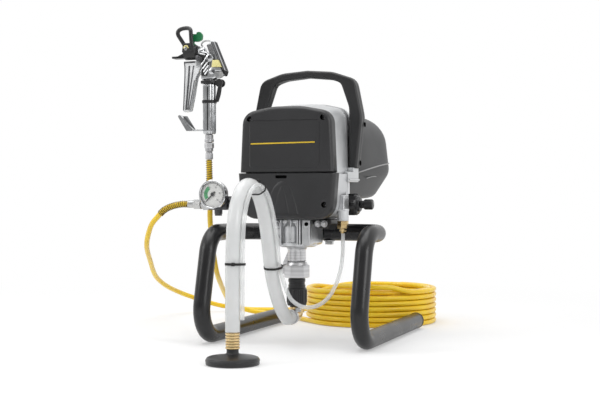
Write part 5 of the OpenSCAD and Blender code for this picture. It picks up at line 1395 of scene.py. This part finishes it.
core = plate_of([(-172, 499, 4), (-160, 497.5, 5), (-150.5, 490, 8), (-141, 471, 9),
                 (-137, 453, 4), (-147, 449.3, 3), (-169, 449.3, 3), (-171.5, 463, 5),
                 (-166.5, 478, 8), (-172, 487, 4)], 21, rim=3.4, segments=5)
barrel = lathe([(0, 0), (7.8, 0), (8.6, 0.8), (8.6, 3.8), (7.6, 4.6), (7.6, 6.2), (8.8, 7),
                (8.8, 10.6), (6.4, 13.4), (0, 13.8)], "X", (-178, GUN_Y, BARREL_Z))
cheek = gather(lathe([(0, 0), (6.2, 0), (7, 0.8), (7, 11.6), (6.2, 12.6), (0, 12.8)], "-Y",
                     (-152.5, GUN_Y, 486), 40),
               lathe([(0, 0), (5.2, 0), (6, 0.8), (6, 11.2), (5.2, 12), (0, 12)], "-Y",
                     (-148, GUN_Y, 463), 36))
pads = plate_of([(-158, 496, 3), (-149, 492, 4), (-143, 476, 5), (-141, 459, 4),
                 (-152, 456, 4), (-156, 466, 6), (-150, 482, 4)], 23.4, rim=1.4)
hinge = disc(2.4, -10.6, 10.6, "Y", (-175, GUN_Y, 477), 28)
lug_ears = gather(*[mill((-178.4, y, 472.4), (-166, y + 2.4, 490), 1.0, 3)
                    for y in (GUN_Y - 10.4, GUN_Y + 8.0)])
piece("gun_body_forging", gather(core, barrel, cheek, pads, hinge, lug_ears), "gun_metal",
      stands_for="gun_body", angle=50)

# %% Rear arm and hook
arm = plate_of([(-157, 510, 3), (-151.5, 518, 4), (-146.5, 515.5, 4), (-124.8, 464, 4),
                (-127.5, 455.5, 4), (-140, 455.5, 4), (-141, 470, 8), (-150, 494, 6)], 13.6,
               rim=2.2, segments=4)
hook_line = through([(-170.4, GUN_Y, 508.2), (-172.4, GUN_Y, 510.8), (-170.6, GUN_Y, 514.8),
                     (-165, GUN_Y, 517.2), (-157.5, GUN_Y, 517.2), (-150, GUN_Y, 514.4)])
hook = bend(hook_line, 1.5, 18)
piece("gun_rear_arm", arm, "gun_metal", angle=50)
piece("gun_wire_hook", hook, "zinc_steel", angle=50)
window = plate_of([(-160.5, 509.5, 2), (-152, 511.5, 2), (-144, 490, 2), (-152.5, 489, 3)], 15.2,
                  rim=0.8)
# Painted shade: the grooves are drawn as thin dark bars that stand for the shade in them.
groove = gather(*[bend([(-146.4 - d, y, 513.4), (-125.8 - d, y, 464.6)], 0.7, 8)
                  for d in (1.6, 4.4) for y in (GUN_Y - 6.7, GUN_Y + 6.7)],
                *[bend([(-146.0, GUN_Y + v, 514.2), (-124.9, GUN_Y + v, 464.4)], 0.8, 8)
                  for v in (-3.4, 0.6, 4.6)])
piece("gun_arm_web", window, "zinc_steel")
mesh_lines = gather(*[bend([(-158.6 + 2.2 * i, GUN_Y - 7.7, 508.4),
                            (-151.6 + 2.2 * i, GUN_Y - 7.7, 490.6)], 0.45, 6) for i in range(4)])
piece("gun_arm_grooves", gather(groove, mesh_lines), "dark_steel")
foot_pad = plate_of([(-131.5, 455.0, 2), (-127.0, 455.0, 3), (-124.2, 464, 2), (-129, 466, 1)],
                    14.6, rim=0.8)
piece("gun_arm_pad", foot_pad, "cap_rubber")
screws_here = []
for x, z, r in ((-152.5, 487.6, 2.9), (-157.5, 481.2, 2.6), (-145, 463, 2.4)):
    screws_here.append(lathe([(0, 0), (r, 0), (r, 1.2), (r - 0.5, 1.7), (r * 0.5, 1.7),
                              (r * 0.5, 0.8), (0, 0.8)], "-Y", (x, GUN_Y - 12.4, z), 24))
piece("gun_screws", gather(*screws_here), "dark_steel", weighted=False)

# %% Ribbed sides of the body: bright ribs over a dark floor
rib_floors, side_ribs = [], []
for side in (-1, 1):
    y = GUN_Y + side * 10.9
    rib_floors.append(press(rounded([(-171, 497, 2), (-158, 495, 2), (-152.5, 484, 2),
                                     (-157, 455, 2), (-168.5, 456, 2), (-166, 477, 4),
                                     (-170.6, 486, 2)], 5),
                            y - 0.5, y + 0.5, rim=0.2, segments=1))
    for x0, z0, x1, z1, r in ((-171, 494, -160, 491.6, 1.5), (-156.6, 488.8, -167.8, 475.0, 1.9),
                              (-154.6, 481.0, -165.2, 467.8, 1.7),
                              (-154.4, 473.4, -163.2, 462, 1.7),
                              (-155.4, 465.4, -161.4, 457.4, 1.6)):
        side_ribs.append(bend([(x0, y, z0), (x1, y, z1)], r, 14))
piece("gun_side_floor", gather(*rib_floors), "black_print")
piece("gun_side_ribs", gather(*side_ribs), "bright_chrome", angle=50)

# %% Plain colour plates on the arm, with nothing written on them
yellow = press([(-146.6, 482), (-136.6, 482), (-130.8, 469.8), (-148.6, 469.8)],
               GUN_Y - 12.2, GUN_Y - 6, rim=0.4)
piece("gun_plate_yellow", yellow, "pale_yellow", weighted=False)
pale = press([(-150.4, 469.0), (-132.4, 469.0), (-129.6, 462.6), (-147.4, 462.6)],
             GUN_Y - 12.2, GUN_Y - 6, rim=0.4)
heel = press(rounded([(-147.4, 461.8, 1), (-128.6, 461.8, 1), (-126.2, 455.6, 3),
                      (-130.5, 451.6, 4), (-141, 451.6, 4)], 5), GUN_Y - 12, GUN_Y - 5, rim=1.2,
             segments=3)
piece("gun_plate_heel", heel, "zinc_steel")
piece("gun_plate_grey", pale, "gun_metal", weighted=False)

# %% Collar and nuts that hold the tip guard
front_ring = lathe([(4, 0), (9.6, 0), (10.2, 0.6), (10.2, 1.8), (4, 1.8), (4, 0)], "X",
                   (-178.2, GUN_Y, BARREL_Z))
piece("gun_front_ring", front_ring, "knob_plastic")
nuts = gather(hexagon(9.5, 5.2, "X", (-177.2, GUN_Y - 10.5, 487.0)),
              disc(3.6, 0, 8, "X", (-177.4, GUN_Y - 10.5, 487.0), 24),
              hexagon(9, 4, "-Y", (-169.2, GUN_Y - 10.5, 484)),
              lathe([(0, 0), (2.4, 0), (2.4, 5.4), (0, 5.6)], "-Y", (-169.2, GUN_Y - 10.5, 484),
                    20))
piece("gun_side_nuts", nuts, "dark_steel")

# %% Grip tube
def flute(half_x, half_y, count, depth, n=120):
    """A rounded-rectangle section with shallow flutes all round."""
    base = rounded([(-half_x, half_y, 6.4), (half_x, half_y, 6.4), (half_x, -half_y, 6.4),
                    (-half_x, -half_y, 6.4)], 12)
    spots = evenly(base + base[:1], n + 1)[:-1]
    out = []
    for i, (x, y) in enumerate(spots):
        dip = depth * (0.5 + 0.5 * math.cos(math.tau * count * i / n))
        size = math.hypot(x, y)
        out.append((x * (1 - dip / size), y * (1 - dip / size)))
    return out


def column(section, steps, centre):
    """Rings of one section at heights, scaled a little at each."""
    return skin([[(centre[0] + x * scale, centre[1] + y * scale, z) for x, y in section]
                 for z, scale in steps])


grip = column(flute(10.4, 9.8, 20, 0.7), [(355.2, 0.80), (356, 0.9), (357.6, 0.96), (361, 1.0),
                                          (438, 1.0), (441, 0.96), (443, 0.9), (449.2, 0.9)],
              (GRIP_X + 0.5, GUN_Y))
foot_ring = lathe([(6.4, 355.1), (8.6, 355.1), (9.2, 355.7), (9.2, 358), (6.4, 358.6),
                   (6.4, 355.1)], at=(GRIP_X, GUN_Y, 0), steps=40)
pin = disc(2.4, -3.6, 3.6, "Y", (LOCK_X, GUN_Y, LOCK_Z), 20)
piece("gun_grip_tube", gather(grip, foot_ring, pin), "gun_metal",
      stands_for="gun_handle", angle=44)
# Painted shade: the seam is a thin black strip, standing for the shade in its groove.
seam_line = mill((GRIP_X + 0.2, GUN_Y - 10.2, 362), (GRIP_X + 0.9, GUN_Y - 8.4, 437), 0.2, 1)
piece("gun_grip_seam", seam_line, "painted_shade_black", weighted=False)

# %% Black ring, clevis and the hand lock
ring = gather(lathe([(9, 442.6), (14.2, 442.6), (15.2, 443.4), (15.2, 447), (14.2, 447.8),
                     (9, 447.8), (9, 442.6)], at=(GRIP_X + 0.5, GUN_Y, 0)),
              mill((GRIP_X + 10, GUN_Y - 5.6, 440.4), (GRIP_X + 17, GUN_Y + 5.6, 447), 1.2, 3),
              *[lathe([(0, 0), (6.4, 0), (7, 0.5), (7, 2.5), (6.4, 3), (0, 3)], "Y",
                      (LOCK_X, y, LOCK_Z), 32) for y in (GUN_Y - 6, GUN_Y + 3)])
piece("gun_ring_clevis", ring, "knob_plastic")
lock = gather(lathe([(2.5, 0), (4.6, 0), (5, 0.4), (5, 4.8), (4.6, 5.2), (2.5, 5.2), (2.5, 0)],
                    "Y", (LOCK_X, GUN_Y - 2.6, LOCK_Z), 32),
              plate_of([(-140, 441, 1), (-134, 441, 2), (-136.6, 424, 9), (-141, 410.6, 2),
                        (-146, 410.6, 2), (-143.6, 424, 9)], 5.2, rim=0.9))
piece("gun_hand_lock", lock, "knob_plastic", body="lock",
      stands_for="trigger_lock", angle=44)
band = column(rounded([(-11.4, 10.8, 6.8), (11.4, 10.8, 6.8), (11.4, -10.8, 6.8),
                       (-11.4, -10.8, 6.8)], 8), [(408.8, 1), (409.3, 1.015), (413.2, 1.015),
                                                  (413.7, 1)], (GRIP_X + 0.5, GUN_Y))
piece("gun_grip_band", band, "knob_plastic")

# %% Trigger
TRIGGER_EDGE = [(-203, 481, 3), (-172, 483, 4), (-171, 471, 4), (-180.5, 454, 6),
                (-186.5, 426, 20), (-193, 395.5, 2), (-204.5, 394, 2), (-201.5, 462, 20)]
bars = [press(rounded(TRIGGER_EDGE), y, y + 2.2, rim=0.6) for y in (GUN_Y - 6.8, GUN_Y + 4.6)]
front_web = press(rounded([(-203, 480.6, 2), (-197.6, 480.6, 2), (-197.4, 462, 20),
                           (-200.4, 394.4, 1), (-204.4, 394.2, 1.6), (-201.5, 462, 20)]),
                  GUN_Y - 5, GUN_Y + 5, rim=0.4)
toe = lathe([(0, -6.9), (2.2, -6.9), (2.8, -6.2), (2.8, 6.2), (2.2, 6.9), (0, 6.9)], "Y",
            (-200.4, GUN_Y, 397), 24)
hub = gather(*[lathe([(2.6, 0), (6.0, 0), (6.4, 0.4), (6.4, 1.6), (2.6, 1.6), (2.6, 0)], "Y",
                     (-175, y, 477), 32) for y in (GUN_Y - 7.6, GUN_Y + 6.0)])
piece("trigger_bars", gather(*bars, front_web, toe, hub), "satin_white",
      body="trigger_body", stands_for="trigger", angle=44)
rails = []
for y in (GUN_Y - 6.9, GUN_Y + 6.9):
    for line, r in (([(-202.2, 480), (-201.2, 462), (-204.0, 397)], 0.9),
                    ([(-192.6, 474), (-194.0, 452), (-199.2, 398)], 1.5),
                    ([(-184.6, 474), (-188.0, 452), (-192.0, 426), (-195.8, 398)], 1.0),
                    ([(-183.0, 449), (-187.2, 426), (-193.4, 397)], 0.8)):
        rails.append(bend(through([(x, y, z) for x, z in line]), r, 14))
    rails.append(bend([(-202.5, y, 480.4), (-182, y, 480.8)], 1.5, 14))
piece("trigger_rails", gather(*rails), "dark_steel", body="trigger_body", angle=50)

# %% Guard plate and its rod
tray = gather(
    press(rounded([(-216, 388, 2), (-211.5, 389.6, 2), (-186.5, 363.8, 2.6), (-187.5, 361.2, 2),
                   (-199, 361.2, 3)]), GUN_Y - 6, GUN_Y + 6, rim=0.8, segments=3),
    press(rounded([(-215.4, 388.4, 1), (-202, 388.0, 2.4), (-185, 362.6, 2), (-190, 361.4, 1)]),
          GUN_Y + 4.4, GUN_Y + 6, rim=0.5))
rod = disc(1.55, 0, 20, "X", (-188, GUN_Y, 362.5), 20)
piece("trigger_guard_plate", gather(tray, rod), "gun_metal",
      stands_for="trigger_guard", angle=44)

# %% Swivel and its fitting
swivel = gather(disc(5, 340, 370, at=(GRIP_X, GUN_Y, 0), steps=36),
                lathe([(0, 341), (7.4, 341), (8.2, 341.8), (8.2, 346), (7.2, 347), (7.2, 353.6),
                       (6.4, 354.4), (0, 354.4)], at=(GRIP_X, GUN_Y, 0), steps=44),
                hexagon(15, 9, "Z", (GRIP_X, GUN_Y, 331), 0.8),
                lathe([(0, 311.5), (6, 311.5), (6.6, 312.2), (6.6, 322), (5.6, 323), (5.6, 325),
                       (7, 326), (7, 331), (0, 331)], at=(GRIP_X, GUN_Y, 0), steps=40))
piece("gun_swivel_turned", swivel, "turned_steel", body="swivel",
      stands_for="gun_swivel", angle=40)

# %% Tip guard
guard_body = lathe([(4.2, 0), (11.6, 0), (13, 1.2), (13, 21), (12, 22.6), (10, 24.4), (4.2, 24.4),
                    (4.2, 0)], "X", (-203, GUN_Y, BARREL_Z), 56)
loop_line = through([(-203, GUN_Y, 505), (-206.5, GUN_Y, 513), (-212.5, GUN_Y, 522),
                     (-217.6, GUN_Y, 530), (-217.6, GUN_Y, 535.6), (-213, GUN_Y, 539.4),
                     (-204, GUN_Y - 0.6, 541.0), (-196, GUN_Y - 3.0, 540.0),
                     (-190.6, GUN_Y - 7.0, 536.6), (-188.6, GUN_Y - 9.4, 530),
                     (-187.8, GUN_Y - 9.8, 520), (-186.8, GUN_Y - 9.6, 511),
                     (-186.4, GUN_Y - 9.0, 503)])
bow_loop = bend(loop_line, 3.6, 20)
shoulder = press(rounded([(-205, 497, 2), (-181, 497, 2), (-183, 510, 4), (-190, 513.5, 5),
                          (-203, 513.5, 4)], 5), GUN_Y - 12.6, GUN_Y - 6.6, rim=1.6, segments=3)
wing = gather(
    mill((-226, GUN_Y - 8.6, 487.8), (-184, GUN_Y + 8.6, 491.6), 1.3, 3),
    press(rounded([(-203, 497, 1), (-184, 497, 1), (-184, 488.2, 1), (-222, 488.2, 1)], 4),
          GUN_Y - 8.6, GUN_Y + 8.6, rim=0.8))
piece("tip_guard_moulded", gather(guard_body, bow_loop, shoulder, wing), "knob_plastic",
      body="guard", stands_for="tip_guard", angle=50)
seat_ring = lathe([(4.2, 0), (6.6, 0), (7.0, 0.5), (7.0, 1.6), (4.2, 1.6), (4.2, 0)], "-X",
                  (-202.2, GUN_Y, BARREL_Z), 40)
half_turn = [math.pi * i / 12 for i in range(13)]
eye_arc = bend([(-196.6 + 4.2 * math.cos(a), GUN_Y - 12.8, 504.4 + 4.2 * math.sin(a))
                for a in half_turn], 1.2, 12)
piece("tip_guard_seat", gather(seat_ring, eye_arc), "pale_yellow", body="guard")
eye_bush = lathe([(0, 0), (3.0, 0), (3.0, 0.8), (1.6, 1.0), (1.6, 0.4), (0, 0.4)], "-Y",
                 (-196.6, GUN_Y - 12.6, 503.6), 24)
piece("tip_guard_bush", eye_bush, "zinc_steel", body="guard")

# %% Turning tip
tip = gather(lathe([(0, 490.2), (5.4, 490.2), (6, 490.8), (6, 512.4), (5.4, 513), (0, 513)],
                   at=(-190, GUN_Y, 0), steps=40),
             lathe([(0, 512), (4, 512), (4, 529.4), (3.4, 530), (0, 530)], at=(-190, GUN_Y, 0),
                   steps=32),
             plate_of([(-190.5, 517.0, 1), (-179, 516, 4), (-171, 519, 5), (-170.2, 528, 5),
                       (-175, 533.6, 4), (-181, 532.6, 1), (-181.4, 529.8, 0.6),
                       (-190.5, 529.8, 1)], 5.8, rim=1.3, segments=4))
piece("spray_tip_turned", tip, "green_plastic", body="tip",
      stands_for="spray_tip", angle=50)
print("gun done:", len(made), "pieces")


# %% [markdown]
# ## Inner parts
# The parts behind the covers keep their engineering shape, which is already right: gears with real
# teeth, shafts, the motor and the board. They only need their finish, so each one's material slot
# is tied to the object and filled from the list below.

# %% Give the engineering solids their finishes
inner_looks = {"motor_can": "dark_steel", "motor_armature": "copper", "motor_pinion": "gear_steel",
               "cooling_fan": "knob_plastic", "shaft_bearings": "zinc_steel",
               "intermediate_gear": "gear_steel", "crankshaft": "turned_steel",
               "crank_gear": "gear_steel", "piston_rod": "bright_chrome",
               "rod_packings": "white_print", "control_board": "board_green",
               "inlet_ball": "bright_chrome"}
for node_name, look in inner_looks.items():
    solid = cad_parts[node_name]
    for slot in solid.material_slots:
        slot.link = "OBJECT"
        slot.material = FINISH[look]
print("inner parts finished:", len(inner_looks))

# %% [markdown]
# ## Studio
# A wide pale floor, a white world and three large soft lamps. The world looks white to the camera,
# to gloss and to glass, but lights the object more gently, so soft shadows stay under the machine.

# %% White world
world = bpy.data.worlds.new("studio")
bpy.context.scene.world = world
world.use_nodes = True
sky = world.node_tree.nodes["Background"]
sky.inputs["Color"].default_value = (1, 1, 1, 1)
SKY_LIGHT = 0.50     # what the white world gives to the things it lights
ROOM_SHADE = 0.35    # what gloss sees of the room behind the viewer


def seen_directly(tree):
    """1 for camera, glossy and transmission rays, 0 for the light that falls on things."""
    rays = tree.nodes.new("ShaderNodeLightPath")
    seen = add_node(tree, "ShaderNodeMath", {"operation": "MAXIMUM"})
    either = add_node(tree, "ShaderNodeMath", {"operation": "MAXIMUM"})
    join(tree, (rays, "Is Camera Ray", seen, 0), (rays, "Is Glossy Ray", seen, 1),
         (seen, 0, either, 0), (rays, "Is Transmission Ray", either, 1))
    return either


sky_tree = world.node_tree
level = add_node(sky_tree, "ShaderNodeMapRange", To_Min=SKY_LIGHT)
heading = coordinates(sky_tree)
way = sky_tree.nodes.new("ShaderNodeSeparateXYZ")
room = add_node(sky_tree, "ShaderNodeMapRange", From_Min=-0.9, From_Max=0.15, To_Min=ROOM_SHADE)
rays = sky_tree.nodes.new("ShaderNodeLightPath")
behind_viewer = add_node(sky_tree, "ShaderNodeMix", {"data_type": "FLOAT"})
behind_viewer.inputs[2].default_value = 1.0
join(sky_tree, (seen_directly(sky_tree), 0, level, "Value"), (level, "Result", sky, "Strength"),
     (heading, "Generated", way, "Vector"), (way, "Y", room, "Value"),
     (rays, "Is Glossy Ray", behind_viewer, "Factor"), (room, "Result", behind_viewer, 3),
     (behind_viewer, 0, level, "To Max"))

# %% Pale floor
FLOOR_TONE, FLOOR_DROP = 0.80, 0.0005
FADE_FROM, FADE_TO, FADE_LEAST = 0.35, 1.5, 0.30    # metres from the middle, and the glow there
floor_look = bpy.data.materials.new("pale_floor")
floor_look.use_nodes = True
tree = floor_look.node_tree
tree.nodes.remove(tree.nodes["Principled BSDF"])
matte = tree.nodes.new("ShaderNodeBsdfDiffuse")
tint = add_node(tree, "ShaderNodeMix", {"data_type": "RGBA"})
tint.inputs[6].default_value = (FLOOR_TONE, FLOOR_TONE, FLOOR_TONE, 1)
tint.inputs[7].default_value = (1.0, 1.0, 1.0, 1)
glow = add_node(tree, "ShaderNodeEmission", Strength=1.0)
spot = coordinates(tree)
away = add_node(tree, "ShaderNodeVectorMath", {"operation": "LENGTH"})
fade = add_node(tree, "ShaderNodeMapRange", {"interpolation_type": "SMOOTHSTEP"},
                From_Min=FADE_FROM, From_Max=FADE_TO, To_Min=FADE_LEAST)
seen_fade = add_node(tree, "ShaderNodeMath", {"operation": "MULTIPLY"})
surface = tree.nodes.new("ShaderNodeMixShader")
join(tree, (seen_directly(tree), 0, tint, "Factor"), (tint, 2, matte, "Color"),
     (spot, "Object", away, 0), (away, "Value", fade, "Value"), (fade, "Result", seen_fade, 0),
     (seen_directly(tree), 0, seen_fade, 1), (seen_fade, 0, surface, 0),
     (matte, "BSDF", surface, 1), (glow, "Emission", surface, 2),
     (surface, "Shader", tree.nodes["Material Output"], "Surface"))
ground = bmesh.new()
bmesh.ops.create_grid(ground, x_segments=1, y_segments=1, size=30,
                      matrix=Matrix.Translation((0, 8, -FLOOR_DROP)))
floor_mesh = bpy.data.meshes.new("studio_floor")
ground.to_mesh(floor_mesh)
ground.free()
floor = bpy.data.objects.new("studio_floor", floor_mesh)
floor_mesh.materials.append(floor_look)
bpy.context.scene.collection.objects.link(floor)


# %% Soft lamps
def soft_lamp(name, place_at, aim, size, watts):
    light = bpy.data.lights.new(name, "AREA")
    light.shape = "SQUARE"
    light.size = size
    light.energy = watts
    lamp = bpy.data.objects.new(name, light)
    lamp.location = place_at
    lamp.rotation_euler = (Vector(aim) - Vector(place_at)).to_track_quat("-Z", "Y").to_euler()
    bpy.context.scene.collection.objects.link(lamp)
    lamp.visible_camera = False


soft_lamp("top_lamp", (-0.3, 0.0, 2.6), (0, 0.2, 0.2), 2.4, 40)
soft_lamp("left_lamp", (-2.2, -1.6, 1.7), (0, 0, 0.25), 1.2, 18)
soft_lamp("right_lamp", (2.3, -1.0, 1.2), (0, 0, 0.25), 1.1, 17)
print("studio ready")

# %% Count the pieces
print("pieces:", len(made))
